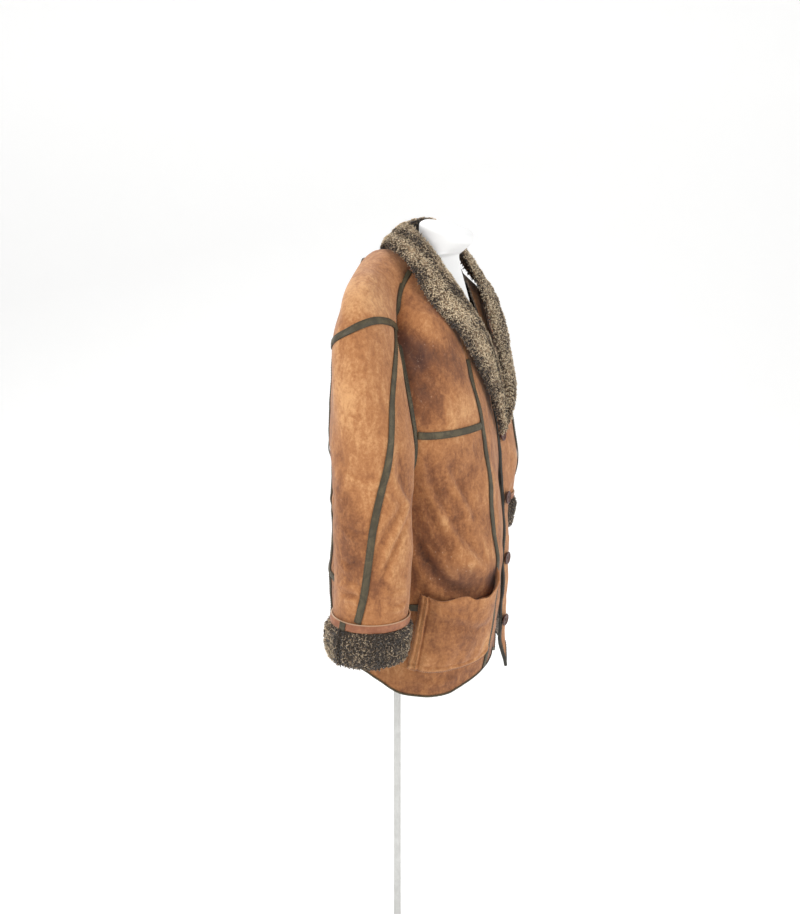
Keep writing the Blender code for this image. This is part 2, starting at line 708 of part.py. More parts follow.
def make_body_tapes(side, front, back, sleeve, front_n, back_n):
    """Tapes over the princess, chest, hip, side, back and raglan seams."""
    b, c = BAND_COLUMNS, SIDE_BACK_COLUMNS
    top = int(np.searchsorted(front[:, b, 2], PRINCESS_TOP_Z))
    tape(f"tape_princess_{side}", front[:top, b], front[:top, b - 1], front[:top, b + 1], front_n[:top, b],
         side, HEM_CLEAR)
    tape(f"tape_chest_{side}", front[CHEST_ROW, b:], front[CHEST_ROW - 1, b:], front[CHEST_ROW + 1, b:],
         front_n[CHEST_ROW, b:], side, CROSSING, CROSSING)
    first = int(math.ceil(POCKET_SIDE_COLUMN))
    tape(f"tape_hip_front_{side}", front[HIP_ROW, first:], front[HIP_ROW - 1, first:],
         front[HIP_ROW + 1, first:], front_n[HIP_ROW, first:], side, 0.0, CROSSING)
    tape(f"tape_hip_side_{side}", back[HIP_ROW, :c + 1], back[HIP_ROW - 1, :c + 1], back[HIP_ROW + 1, :c + 1],
         back_n[HIP_ROW, :c + 1], side, CROSSING, CROSSING)
    tape(f"tape_back_{side}", back[:-1, c], back[:-1, c - 1], back[:-1, c + 1], back_n[:-1, c], side,
         HEM_CLEAR)
    r = BODY_ROWS
    tape(f"tape_side_{side}", front[:r, -1], front[:r, -2], back[:r, 1], front_n[:r, -1], side,
         HEM_CLEAR, CROSSING)
    last = len(front_stations) - 1
    near_sleeve = sleeve[last::-1, 1]
    tape(f"tape_raglan_front_{side}", front[r:, -1], front[r:, -2], near_sleeve, front_n[r:, -1],
         side, 0.0, 0.006, FOLD_LAY)
    near_sleeve = sleeve[last::-1, -2]
    tape(f"tape_raglan_back_{side}", back[r + 1:, 0], back[r + 1:, 1], near_sleeve[1:], back_n[r + 1:, 0],
         side, 0.0, 0.006, BACK_FOLD_LAY)


def make_sleeve_tapes(side, sleeve, normals):
    """Tapes over the cap seam and down the sleeve to the cuff."""
    cap, split = SHOULDER_ROWS, TURNS_FRONT
    tape(f"tape_cap_{side}", sleeve[cap], sleeve[cap - 1], sleeve[cap + 1], normals[cap], side,
         1.4 * CROSSING, 1.4 * CROSSING)
    last = len(front_stations) - 1 + LOWER_ROWS
    line = slice(cap, last + 1)
    tape(f"tape_sleeve_{side}", sleeve[line, split], sleeve[line, split - 1], sleeve[line, split + 1],
         normals[line, split], side, CROSSING, 0.0012)


CUFF_TURNS = 28
CUFF_TAB_TURN = math.radians(112)
CUFF_INNER = 0.0014      # from the sleeve's suede to the band and the wool round it
SLEEVE_END_Z = SLEEVE[-1, 2]


def cuff_ring(offset, height, turn=None):
    """A level ring round the sleeve's end, the given distance outside it."""
    if turn is None:
        turn = np.linspace(0, 2 * math.pi, CUFF_TURNS, endpoint=False)
    heights = SLEEVE[CUFF_ROW:, 2][::-1]
    station = len(SLEEVE) - 1 - np.interp(height, heights, np.arange(len(heights)))
    ring = sleeve_surface(np.full(len(turn), station), turn)
    flat = ring - smooth(SLEEVE, station)[:3]
    flat[:, 2] = 0
    ring = ring + unit(flat) * offset
    ring[:, 2] = height
    return ring


def hung(points, side, region):
    """Points of a piece made apart from the grids, hung as its side hangs."""
    return hang_left(points, region) if side == "L" else points


def make_cuff(side):
    """A leather band round the sleeve's end, its taped join, and the turned-back wool below it."""
    top, low = CUFF_TOP_Z - 0.0006, CUFF_TOP_Z - CUFF_BAND
    bottom = low - CUFF_LENGTH
    band_profile = [(CUFF_INNER, top), (CUFF_INNER + 0.0028, top), (CUFF_INNER + 0.0036, low + SEAM_GAP),
                    (CUFF_INNER, low + SEAM_GAP)]
    band = np.stack([cuff_ring(out, z) for out, z in band_profile], axis=1)
    swept(f"cuff_band_{side}", hung(band, side, "sleeve"), band_leather(), side, closed=True)
    wool_profile = [(CUFF_INNER, low), (CUFF_INNER + 0.6 * CUFF_WOOL, low),
                    (CUFF_INNER + 0.95 * CUFF_WOOL, low - 0.008),
                    (CUFF_INNER + CUFF_WOOL, low - 0.5 * CUFF_LENGTH),
                    (CUFF_INNER + 0.85 * CUFF_WOOL, bottom + 0.010), (CUFF_INNER + 0.45 * CUFF_WOOL, bottom),
                    (CUFF_INNER - 0.004, bottom + 0.002), (CUFF_INNER - 0.004, SLEEVE_END_Z - 0.0010),
                    (CUFF_INNER, SLEEVE_END_Z - 0.0010)]
    ring = np.stack([cuff_ring(out, z) for out, z in wool_profile], axis=1)
    swept(f"cuff_wool_{side}", hung(ring, side, "sleeve"), wool(), side, closed=True)
    turn = CUFF_TAB_TURN + np.array([-1.0, 1.0]) * 0.5 * TAPE_WIDTH / SLEEVE[CUFF_ROW, 6]
    face = CUFF_INNER + 0.0036 + LAY
    rows = [(face - 0.0008, top), (face, low + 0.001)]
    tab = [np.concatenate([cuff_ring(out, z, turn), cuff_ring(out + TAPE_WALL, z, turn)[::-1]])
           for out, z in rows]
    swept(f"tape_cuff_{side}", hung(np.array(tab), side, "sleeve"), tape_leather(), side)


def make_pocket(side, front, normals):
    """A patch pocket sewn at its front, bottom and side, its mouth sagging open."""
    share = np.linspace(0, 1, POCKET_COLUMNS)
    column = POCKET_FRONT_COLUMN + (POCKET_SIDE_COLUMN - POCKET_FRONT_COLUMN) * share
    low, high, gape = [np.interp(share, POCKET[:, 0], POCKET[:, k]) for k in (1, 2, 3)]
    up = np.linspace(0, 1, POCKET_ROWS)[:, None]
    heights = low + (high - low) * up
    columns = column + 0 * heights
    rows = row_at_height(front, heights, columns)
    points = at_grid(front, rows, columns)
    out = unit(at_grid(normals, rows, columns))
    belly = np.sin(math.pi * share) ** 0.9 * (0.004 * np.sin(math.pi * np.clip(up * 0.8, 0, 1)))
    stand_off = POCKET_WALL + 0.0014 + belly + POCKET_GAPE[side] * gape * up ** 2.2
    slab(f"pocket_{side}", points + out * stand_off[..., None], out, POCKET_WALL, suede(), side, gap=0.0)


COLLAR_SECTION = 5
COLLAR_STEPS = 21
COLLAR_CAMBER = {"R": 1.0, "L": 0.8}
COLLAR_SEAT = {"R": 0.0018, "L": 0.0010}     # how far it is drawn back to lie on the fronts


def collar_sections(camber_share):
    """Closed sections of the collar from the centre back down: a thick lens from roll to outer edge."""
    rows = smooth(COLLAR, np.linspace(0, len(COLLAR) - 1, COLLAR_STEPS))
    roll, edge, thick, camber = rows[:, 0:3], rows[:, 3:6], rows[:, 6], rows[:, 7]
    along = np.gradient((roll + edge) / 2, axis=0)
    across = edge - roll
    up = unit(np.cross(across, along))
    up = up * np.sign(up[:, 1:2] + up[:, 2:3])
    share = (1 - np.cos(np.linspace(0, math.pi, COLLAR_SECTION + 2))) / 2
    body = np.sqrt(np.clip(1 - (2 * share - 1) ** 2, 0, 1)) ** 0.7
    middle = roll[:, None] + across[:, None] * share[None, :, None]
    rise = camber_share * camber[:, None] * 4 * share * (1 - share)
    top = middle + up[:, None] * (rise + thick[:, None] / 2 * body)[..., None]
    under = middle + up[:, None] * (rise - thick[:, None] / 2 * body)[..., None]
    return np.concatenate([top, under[:, -2:0:-1]], axis=1)


def make_collar(side):
    """One half of the shawl collar, wool side out, with the small gap of its centre back seam."""
    sections = hung(collar_sections(COLLAR_CAMBER[side]), side, "collar")
    sections[:, :, 1] -= COLLAR_SEAT[side]
    sections[0, :, 0] = SEAM_GAP / 2
    swept(f"collar_{side}", sections, wool(), side)


def folded_edge(line, inward, outward):
    """Sections of a leather strip that caps the raw edge of the suede."""
    toward = -inward
    near, far, over = 0.0006, 0.0006 + BINDING_WALL, 0.001
    return np.stack([line + outward * over + toward * near, line + outward * over + toward * far,
                     line - outward * (WALL + over) + toward * far,
                     line - outward * (WALL + over) + toward * near], axis=1)


def make_bindings(halves):
    """Leather folded over the two front edges and over the hem from one front corner to the other."""
    mirror = np.array([-1.0, 1.0, 1.0])
    hem = []
    for side, half in halves.items():
        front, front_n = half["front"][:CHEST_ROW + 1], half["front_n"][:CHEST_ROW + 1]
        strip = folded_edge(front[:, 0], unit(front[:, 1] - front[:, 0]), front_n[:, 0])
        swept(f"binding_front_{side}", strip, tape_leather(), side)
        low = np.concatenate([front[0, :-1], half["back"][0]])
        high = np.concatenate([front[1, :-1], half["back"][1]])
        out = np.concatenate([front_n[0, :-1], half["back_n"][0]])
        strip = folded_edge(low, unit(high - low), out)
        hem.append(strip if side == "R" else (strip[:-1] * mirror)[::-1])
    swept("binding_hem", np.concatenate(hem), tape_leather(), "R")


def make_buttons(front, front_n):
    """Four buttons on the left front, their shanks against the suede."""
    for number, (height, shank) in enumerate(BUTTONS, start=1):
        row = row_at_height(front, np.array([height]), np.array([0.5]))
        line = at_grid(front, row, np.array([0.0]))[0]
        beside = at_grid(front, row, np.array([1.0]))[0]
        share = (BUTTON_R - line[0]) / (beside[0] - line[0])
        spot = line + share * (beside - line)
        out = unit(at_grid(front_n, row, np.array([share]))[0])
        right = unit(np.cross(out, [0.0, 0.0, 1.0]))
        above = np.cross(right, out)
        turn = np.linspace(0, 2 * math.pi, 24, endpoint=False)[:, None]
        circle = right * np.cos(turn) + above * np.sin(turn)
        sections = np.array([spot + circle * BUTTON_RADIUS * size + out * (shank + rise)
                             for size, rise in BUTTON])
        swept(f"button_{number}", sections, button_horn(), "L")


FORM_POINTS = 32
FORM_BACK_POWER = 2.3
FORM_BOTTOM_Z = FORM[0, 0]
NECK_Z = 1.384           # where the neck's rings begin to lean
CAP_SLOPE = 0.22         # the neck's cap falls towards the front
CAP_SIZE = 0.90          # and is rounded over by this much


def make_form():
    """The limbless torso and neck: lofted rings, closed flat below and by a sloping cap above."""
    levels = np.concatenate([FORM[:, 0], FORM[-1, 0] + np.array([0.010, 0.015])])
    turn = np.linspace(0, 2 * math.pi, FORM_POINTS, endpoint=False)
    rings = []
    for level in levels:
        _, middle, half_r, front, back, full = by_height(FORM, min(level, FORM[-1, 0]))
        lean = np.clip((level - NECK_Z) / 0.03, 0, 1)
        size = CAP_SIZE if level == levels[-1] else 1.0
        ahead = np.cos(turn) > 0
        power = np.where(ahead, full, FORM_BACK_POWER)
        deep = np.where(ahead, front, back)
        radius = size * polar_radius(turn, half_r, deep, power)
        fore = radius * np.cos(turn)
        rings.append(np.stack([radius * np.sin(turn), middle + fore, level - CAP_SLOPE * lean * fore],
                              axis=-1))
    rings = np.array(rings)
    mirror = np.array([-1.0, 1.0, 1.0])
    turned = hang_left(rings * mirror, "form") * mirror
    swept("form", np.where(rings[..., :1] < 0, turned, rings), form_cover(), "R")


def make_stand():
    """A straight pole on a round plate, turned in one profile."""
    profile = [(BASE_RADIUS, 0.0), (BASE_RADIUS, BASE_THICK - 0.003), (BASE_RADIUS - 0.003, BASE_THICK),
               (0.024, BASE_THICK + 0.002), (0.014, BASE_THICK + 0.030), (POLE_RADIUS, BASE_THICK + 0.034),
               (POLE_RADIUS, FORM_BOTTOM_Z - SEAM_GAP)]
    turn = np.linspace(0, 2 * math.pi, 48, endpoint=False)
    sections = np.array([np.stack([r * np.sin(turn), r * np.cos(turn), z + 0 * turn], axis=-1)
                         for r, z in profile])
    swept("stand", sections, stand_paint(), "R")


def half_grids(side):
    """The front, back and sleeve grids of one side, hung, with their shared normals."""
    tail_turn = np.concatenate([np.linspace(-math.pi / 2, math.pi / 2, TURNS_FRONT + 1),
                                np.linspace(math.pi / 2, 1.5 * math.pi, TURNS_BACK + 1)[1:]])
    tail = sleeve_surface(np.full(len(tail_turn), len(SLEEVE) - 1.0), tail_turn)
    front = hung(front_grid(), side, "body")
    back = hung(back_grid(), side, "body")
    sleeve = hung(np.concatenate([sleeve_grid(), tail[None]]), side, "sleeve")
    front_n, back_n, sleeve_n = shared_normals(front, back, sleeve)
    return {"front": front, "back": back, "sleeve": sleeve,
            "front_n": front_n, "back_n": back_n, "sleeve_n": sleeve_n}


def build():
    """Clear the scene and make every piece."""
    for item in list(bpy.data.objects):
        bpy.data.objects.remove(item, do_unlink=True)
    halves = {side: half_grids(side) for side in SIDES}
    for side, half in halves.items():
        front, back, sleeve = half["front"], half["back"], half["sleeve"]
        make_front(side, front, half["front_n"])
        make_side_back(side, back, half["back_n"])
        make_sleeve(side, sleeve, half["sleeve_n"])
        make_body_tapes(side, front, back, sleeve, half["front_n"], half["back_n"])
        make_sleeve_tapes(side, sleeve, half["sleeve_n"])
        make_cuff(side)
        make_pocket(side, front, half["front_n"])
        make_collar(side)
    make_centre_back(halves)
    make_bindings(halves)
    make_buttons(halves["L"]["front"], halves["L"]["front_n"])
    make_form()
    make_stand()


build()
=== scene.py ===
import math

import bpy
import numpy as np
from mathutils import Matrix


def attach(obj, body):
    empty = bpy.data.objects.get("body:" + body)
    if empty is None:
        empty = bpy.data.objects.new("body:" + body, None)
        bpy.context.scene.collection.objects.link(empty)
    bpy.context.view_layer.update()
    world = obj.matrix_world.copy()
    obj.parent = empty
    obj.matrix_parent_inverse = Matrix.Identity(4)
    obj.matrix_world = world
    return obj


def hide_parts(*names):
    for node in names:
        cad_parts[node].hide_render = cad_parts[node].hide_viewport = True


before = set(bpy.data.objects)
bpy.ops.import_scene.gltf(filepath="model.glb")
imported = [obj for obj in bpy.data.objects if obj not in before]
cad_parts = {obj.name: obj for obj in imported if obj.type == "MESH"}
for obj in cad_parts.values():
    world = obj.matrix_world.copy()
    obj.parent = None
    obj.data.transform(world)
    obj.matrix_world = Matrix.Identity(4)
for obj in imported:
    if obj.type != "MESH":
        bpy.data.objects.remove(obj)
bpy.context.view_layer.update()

# ---- studio ----
# A plain pale floor that sweeps up into a backdrop, with large soft lamps round the stand
# and a camera a little above the shoulder, off the wearer's right front.
CAMERA_AWAY = 2.34
CAMERA_TURN = math.radians(20)
CAMERA_HEIGHT = 1.70
CAMERA_DIP = math.radians(15.9)
CAMERA_ASIDE = 0.005
LENS = 56.32
SENSOR_WIDTH = 36.0

scene = bpy.context.scene
camera = bpy.data.objects.new("camera", bpy.data.cameras.new("camera"))
scene.collection.objects.link(camera)
scene.camera = camera
camera.data.lens = LENS
camera.data.sensor_width = SENSOR_WIDTH
camera.data.clip_end = 60.0
ahead = np.array([math.cos(CAMERA_TURN), math.sin(CAMERA_TURN), 0.0])
aside = np.array([ahead[1], -ahead[0], 0.0])
camera.location = [*(-CAMERA_AWAY * ahead + CAMERA_ASIDE * aside)[:2], CAMERA_HEIGHT]
camera.rotation_euler = (math.pi / 2 - CAMERA_DIP, 0.0, CAMERA_TURN - math.pi / 2)
scene.view_settings.view_transform = "Standard"


class Level:
    """A node's output that can be used in Python sums: each operator adds its Math node."""

    def __init__(self, paint, socket):
        self.paint = paint
        self.socket = socket

    def maths(self, operation, *values):
        """A Math node of that kind on these values, in order."""
        names = ("Value", "Value_001", "Value_002")
        return self.paint.node("ShaderNodeMath", {"operation": operation}, **dict(zip(names, values)))

    def __add__(self, other):
        return self.maths("ADD", self, other)

    __radd__ = __add__

    def __mul__(self, other):
        return self.maths("MULTIPLY", self, other)

    __rmul__ = __mul__

    def __sub__(self, other):
        return self.maths("SUBTRACT", self, other)

    def __rsub__(self, other):
        return self.maths("SUBTRACT", other, self)

    def wave(self):
        """The sine of the value."""
        return self.maths("SINE", self)

    def step(self, low, high):
        """A soft rise from 0 to 1 as the value goes from low to high."""
        return self.paint.node("ShaderNodeMapRange", {"interpolation_type": "SMOOTHSTEP"}, Value=self,
                               From_Min=low, From_Max=high)


class Paint:
    """A Principled material; its nodes come from node(), and set() feeds the shader."""

    def __init__(self, name, **sockets):
        self.material = bpy.data.materials.new(name)
        self.material.use_nodes = True
        self.tree = self.material.node_tree
        self.shader = self.tree.nodes["Principled BSDF"]
        self.set(**sockets)

    def plug(self, target, value):
        """Links a level to a socket, or sets the socket to a number, colour or vector."""
        if isinstance(value, Level):
            self.tree.links.new(value.socket, target)
        elif isinstance(value, (tuple, list)) and target.type == "RGBA":
            target.default_value = (*value[:3], 1.0)
        else:
            target.default_value = value

    def node(self, kind, settings=None, output=0, **values):
        """One node: its settings first, then its sockets by identifier, with _ for a space."""
        made = self.tree.nodes.new(kind)
        for key, value in (settings or {}).items():
            setattr(made, key, value)
        sockets = {socket.identifier: socket for socket in made.inputs}
        for key, value in values.items():
            self.plug(sockets.get(key) or sockets[key.replace("_", " ")], value)
        return Level(self, made.outputs[output])

    def set(self, **sockets):
        """Feeds the shader's own sockets, named with _ for a space."""
        for key, value in sockets.items():
            self.plug(self.shader.inputs[key.replace("_", " ")], value)

    def place(self, scale=(1.0, 1.0, 1.0), turn=(0.0, 0.0, 0.0), shift=(0.0, 0.0, 0.0)):
        """Object coordinates, shifted, turned and stretched."""
        here = self.node("ShaderNodeTexCoord", output=3)
        return self.node("ShaderNodeMapping", Vector=here, Location=shift, Rotation=turn, Scale=scale)

    def noise(self, place, scale, detail=3.0, rough=0.5, twist=0.0):
        """Soft noise about 0.5 with features 1 / scale apart."""
        return self.node("ShaderNodeTexNoise", Vector=place, Scale=scale, Detail=detail, Roughness=rough,
                         Distortion=twist)

    def cells(self, place, scale, feature="F1"):
        """Distance to scattered points, or to the edges between their cells."""
        return self.node("ShaderNodeTexVoronoi", {"feature": feature}, Vector=place, Scale=scale)

    def mix(self, part, first, second):
        """One colour turned into another as part goes from 0 to 1."""
        return self.node("ShaderNodeMix", {"data_type": "RGBA"}, output=2, Factor_Float=part, A_Color=first,
                         B_Color=second)

    def shade(self, colour, value):
        """A colour made lighter or darker by a level about 1."""
        grey = self.node("ShaderNodeCombineXYZ", X=value, Y=value, Z=value)
        return self.node("ShaderNodeMix", {"data_type": "RGBA", "blend_type": "MULTIPLY"}, output=2,
                         Factor_Float=1.0, A_Color=colour, B_Color=grey)

    def kept(self, name):
        """A number kept at each point of the mesh."""
        return self.node("ShaderNodeAttribute", {"attribute_name": name}, output=2)

    def bumps(self, height, distance, strength):
        """Feeds a height field to the shader's normal."""
        self.set(Normal=self.node("ShaderNodeBump", Height=height, Distance=distance, Strength=strength))


FLOOR_NEAR = -4.0
FLOOR_FAR = 3.2
BACKDROP_RADIUS = 1.6
BACKDROP_HEIGHT = 5.5
BACKDROP_GLOW = 0.15
FLOOR_HALF = 7.0
ROOM_LIGHT = 0.62
LAMPS_AIM_Z = 1.05

paper = Paint("studio_paper", Roughness=0.9)
grain = paper.noise(paper.place(), 14.0, 4.0)
paper.set(Base_Color=paper.mix(grain, (0.935, 0.935, 0.93), (0.95, 0.95, 0.945)),
          Emission_Color=(1.0, 1.0, 1.0), Emission_Strength=BACKDROP_GLOW)
# the sweep's profile in the direction of view: flat, a quarter circle, then upright
turns = np.linspace(0, math.pi / 2, 24)
profile = np.concatenate([[[FLOOR_NEAR, 0.0]],
                          np.stack([FLOOR_FAR + BACKDROP_RADIUS * np.sin(turns),
                                    BACKDROP_RADIUS * (1 - np.cos(turns))], axis=1),
                          [[FLOOR_FAR + BACKDROP_RADIUS, BACKDROP_HEIGHT]]])
sweep = bpy.data.meshes.new("backdrop")
ends = [profile[:, :1] * ahead + s * aside * FLOOR_HALF + profile[:, 1:] * np.array([0.0, 0.0, 1.0])
        for s in (-1, 1)]
count = len(profile)
sweep.from_pydata(np.concatenate(ends).tolist(), [],
                  [(i, i + 1, count + i + 1, count + i) for i in range(count - 1)])
sweep.materials.append(paper.material)
sweep.shade_smooth()
backdrop = bpy.data.objects.new("backdrop", sweep)
scene.collection.objects.link(backdrop)

world = bpy.data.worlds.new("studio")
scene.world = world
world.use_nodes = True
room = world.node_tree.nodes["Background"]
room.inputs["Color"].default_value = (1.0, 1.0, 1.0, 1.0)
room.inputs["Strength"].default_value = ROOM_LIGHT

LAMPS = {  # from the coat: along the view, to its right, up; size; watts
    "key": ((-2.2, -1.9, 3.0), 1.5, 62.0),
    "front": ((-1.6, 2.6, 2.0), 1.7, 34.0),
    "back": ((2.4, -0.9, 3.2), 1.6, 46.0),
}
for name, (spot, size, watts) in LAMPS.items():
    lamp = bpy.data.lights.new(name, "AREA")
    lamp.shape = "SQUARE"
    lamp.size = size
    lamp.energy = watts
    holder = bpy.data.objects.new(name, lamp)
    scene.collection.objects.link(holder)
    at = spot[0] * ahead + spot[1] * aside + np.array([0, 0, spot[2]])
    down = np.array([0.0, 0.0, LAMPS_AIM_Z]) - at
    holder.location = at
    holder.rotation_euler = (math.pi / 2 - math.atan2(-down[2], np.hypot(down[0], down[1])), 0,
                             math.atan2(down[1], down[0]) - math.pi / 2)

# ---- coat body: suede panels ----
# Each half of the body is cut as a front band, three front panels, two side backs and half the centre
# back, from sheepskin with the suede side out and the clipped wool in, sewn edge to edge.
EDGE_R = 0.005          # front edges, from the centre line
PRINCESS_R = 0.100
BACK_SEAM_ANGLE = math.radians(126)
SIDE_ANGLE = math.radians(88)
SIDE_BACK = math.radians(9)
SIDE_SWING_Z = 0.90     # the side seam swings back below this height,
SIDE_SWING_REACH = 0.20  # over this distance
FRONT_POWER = 2.6       # squareness of the level sections
BACK_POWER = 2.3
SECTION_MID_F = 0.050
DIP_WIDTH = 0.055       # the front edges lie back over this width
HIP_Z = 0.853
CHEST_Z = 1.135
CHEST_DROOP = 0.009

# points are worked out for the wearer's right half as (R outwards, F forwards, Z up)
BODY = np.array([
    # Z,    half_R, front_F, back_F, dip
    [0.640, 0.222, 0.186, -0.086, 0.006],
    [0.700, 0.220, 0.192, -0.090, 0.012],
    [0.760, 0.219, 0.203, -0.093, 0.022],
    [0.820, 0.217, 0.213, -0.093, 0.027],
    [0.880, 0.214, 0.217, -0.092, 0.029],
    [0.940, 0.210, 0.214, -0.090, 0.025],
    [1.000, 0.205, 0.206, -0.089, 0.022],
    [1.060, 0.205, 0.199, -0.089, 0.019],
    [1.120, 0.208, 0.192, -0.088, 0.017],
    [1.180, 0.207, 0.180, -0.086, 0.008],
    [1.240, 0.200, 0.166, -0.081, 0.002],
    [1.300, 0.184, 0.144, -0.067, 0.000],
    [1.340, 0.162, 0.116, -0.049, 0.000],
    [1.380, 0.125, 0.082, -0.030, 0.000],
    [1.420, 0.100, 0.060, -0.020, 0.000],
])

SLEEVE = np.array([
    # R,     F,     Z,     tilt, front, back,  outer, inner, close
    [0.096, 0.014, 1.372,  6.0, 0.044, 0.036, 0.024, 0.020,  0.0],
    [0.128, 0.014, 1.343, 10.0, 0.038, 0.040, 0.046, 0.020,  0.0],
    [0.156, 0.016, 1.306, 16.0, 0.041, 0.043, 0.074, 0.025,  0.0],
    [0.180, 0.021, 1.262, 25.0, 0.048, 0.045, 0.112, 0.030,  0.0],
    [0.200, 0.029, 1.214, 36.0, 0.057, 0.048, 0.138, 0.035,  0.0],
    [0.219, 0.036, 1.168, 48.0, 0.066, 0.051, 0.124, 0.040,  6.0],
    [0.236, 0.043, 1.120, 62.0, 0.071, 0.053, 0.098, 0.042, 22.0],
    [0.250, 0.048, 1.075, 72.0, 0.070, 0.054, 0.082, 0.044, 50.0],
    [0.261, 0.052, 1.040, 80.0, 0.068, 0.055, 0.072, 0.046, 90.0],
    [0.272, 0.057, 1.005, 84.0, 0.066, 0.056, 0.066, 0.046, 90.0],
    [0.282, 0.062, 0.960, 88.0, 0.064, 0.057, 0.060, 0.048, 90.0],
    [0.288, 0.065, 0.915, 90.0, 0.062, 0.058, 0.057, 0.050, 90.0],
    [0.291, 0.063, 0.872, 90.0, 0.059, 0.057, 0.055, 0.051, 90.0],
    [0.291, 0.060, 0.845, 90.0, 0.057, 0.056, 0.054, 0.051, 90.0],
    [0.291, 0.057, 0.812, 90.0, 0.056, 0.055, 0.053, 0.051, 90.0],
])
UNDERARM = 8            # row of SLEEVE where the ring closes
CUFF_ROW = 12           # row of SLEEVE at the cuff's top edge


def smooth(table, position):
    """Rows of a table read at fractional row numbers: Catmull-Rom, so the curve passes through each row."""
    table = np.asarray(table, float)
    position = np.clip(np.asarray(position, float), 0.0, len(table) - 1.0)
    low = np.minimum(position.astype(int), len(table) - 2)
    part = (position - low).reshape(position.shape + (1,) * (table.ndim - 1))
    before = table[np.maximum(low - 1, 0)]
    start = table[low]
    end = table[low + 1]
    after = table[np.minimum(low + 2, len(table) - 1)]
    slope_in = (end - before) / 2
    slope_out = (after - start) / 2
    return ((2 * start - 2 * end + slope_in + slope_out) * part ** 3
            + (3 * end - 3 * start - 2 * slope_in - slope_out) * part ** 2
            + slope_in * part + start)


def by_height(table, height):
    """Rows of a table whose first column is a rising height, read at the given heights."""
    rows = np.interp(height, table[:, 0], np.arange(len(table)))
    return smooth(table, rows)


def eased(value):
    """A ramp from 0 to 1 with soft ends."""
    value = np.clip(value, 0, 1)
    return value * value * (3 - 2 * value)


def unit(vectors):
    """Vectors scaled to length one."""
    length = np.linalg.norm(vectors, axis=-1, keepdims=True)
    return vectors / np.maximum(length, 1e-9)


def bell(away, width):
    """A soft hump: 1 in its middle, falling as a Gaussian with the distance over a width."""
    return np.exp(-(away / width) ** 2)


def polar_radius(angle, half_r, deep, power):
    """Radius of a superellipse in polar form, measured from straight ahead."""
    beside = np.abs(np.sin(angle) / half_r) ** power
    ahead = np.abs(np.cos(angle) / deep) ** power
    return (beside + ahead) ** (-1 / power)


def body_surface(angle, height):
    """A point on the coat's outside: a polar superellipse in each section, dipped at the front edges."""
    row = by_height(BODY, height)
    half_r, front, back, dip = row[..., 1], row[..., 2], row[..., 3], row[..., 4]
    deep = np.where(np.cos(angle) > 0, front - SECTION_MID_F, SECTION_MID_F - back)
    power = np.where(np.cos(angle) > 0, FRONT_POWER, BACK_POWER)
    radius = polar_radius(angle, half_r, deep, power)
    right = radius * np.sin(angle)
    fore = SECTION_MID_F + radius * np.cos(angle)
    fore = fore - np.where(np.cos(angle) > 0, dip * bell(right, DIP_WIDTH), 0.0)
    return np.stack([right, fore, height + 0 * right], axis=-1)


def sleeve_surface(station, turn):
    """A point on the sleeve: an oval in the ring's plane, turn 0 at the front, 90 outside, 180 behind."""
    row = smooth(SLEEVE, station)
    tilt = np.radians(row[..., 3])
    across = np.cos(turn)
    outward = np.sin(turn)
    fore = np.where(across > 0, row[..., 4], row[..., 5]) * across
    out = np.where(outward > 0, row[..., 6], row[..., 7]) * outward
    return np.stack([row[..., 0] + out * np.sin(tilt),
                     row[..., 1] + fore,
                     row[..., 2] + out * np.cos(tilt)], axis=-1)


def ring_end(station, front):
    """The turn at which a ring meets the raglan seam, in front or behind."""
    close = np.radians(np.clip(smooth(SLEEVE, station)[..., 8], 0, 90))
    return -close if front else math.pi + close


CAP_FRONT = 2.45         # sleeve station of the cap seam at the front and back raglan seams
CAP_BACK = 3.75
CAP_RISE = 1.20          # how much further out it runs over the shoulder
SHOULDER_ROWS = 5
CAP_ROWS = 9
LOWER_ROWS = 9
BODY_ROWS = 9            # from hem to underarm
HIP_ROW = 4
CHEST_ROWS = 4           # from underarm to the chest seam

TURNS_FRONT = 5
TURNS_BACK = 7


def two_spans(first, middle, last, steps, more):
    """Even steps from the first value to the middle one, then more even steps on to the last."""
    return np.concatenate([np.linspace(first, middle, steps + 1), np.linspace(middle, last, more + 1)[1:]])


front_stations = two_spans(0, CAP_FRONT, UNDERARM, SHOULDER_ROWS, CAP_ROWS)
back_stations = two_spans(0, CAP_BACK, UNDERARM, SHOULDER_ROWS, CAP_ROWS)
lower_stations = np.linspace(UNDERARM, CUFF_ROW, LOWER_ROWS + 1)[1:]


def seam_turn(station):
    """Where the taped sleeve seam runs: from the front of the cap to the outside of the cuff."""
    part = np.clip((station - CAP_FRONT) / (CUFF_ROW - CAP_FRONT), 0, 1)
    return np.radians(6 + 84 * part ** 0.85)


def sleeve_grid():
    """The whole sleeve as rows from neck to cuff, columns from the front raglan seam round to the back.

    Row stations run from the front list to the back list and bulge outwards over the shoulder, so that
    one row is the cap seam and both ends of each row are shared with the body's rows.
    """
    last = len(front_stations) - 1
    rows = []
    for number in range(last + 1 + LOWER_ROWS):
        if number <= last:
            start, end = front_stations[number], back_stations[number]
            bulge = CAP_RISE * np.interp(number, [0, SHOULDER_ROWS, last], [0, 1, 0])
        else:
            start = end = lower_stations[number - last - 1]
            bulge = 0.0
        low = ring_end(start, True)
        high = ring_end(end, False)
        split = seam_turn(start + 0.4 * bulge)
        turn = two_spans(low, split, high, TURNS_FRONT, TURNS_BACK)
        part = np.clip(turn / math.pi, 0, 1)
        station = start + (end - start) * part + bulge * np.sin(part * math.pi) ** 1.2
        rows.append(sleeve_surface(station, turn))
    return np.array(rows)


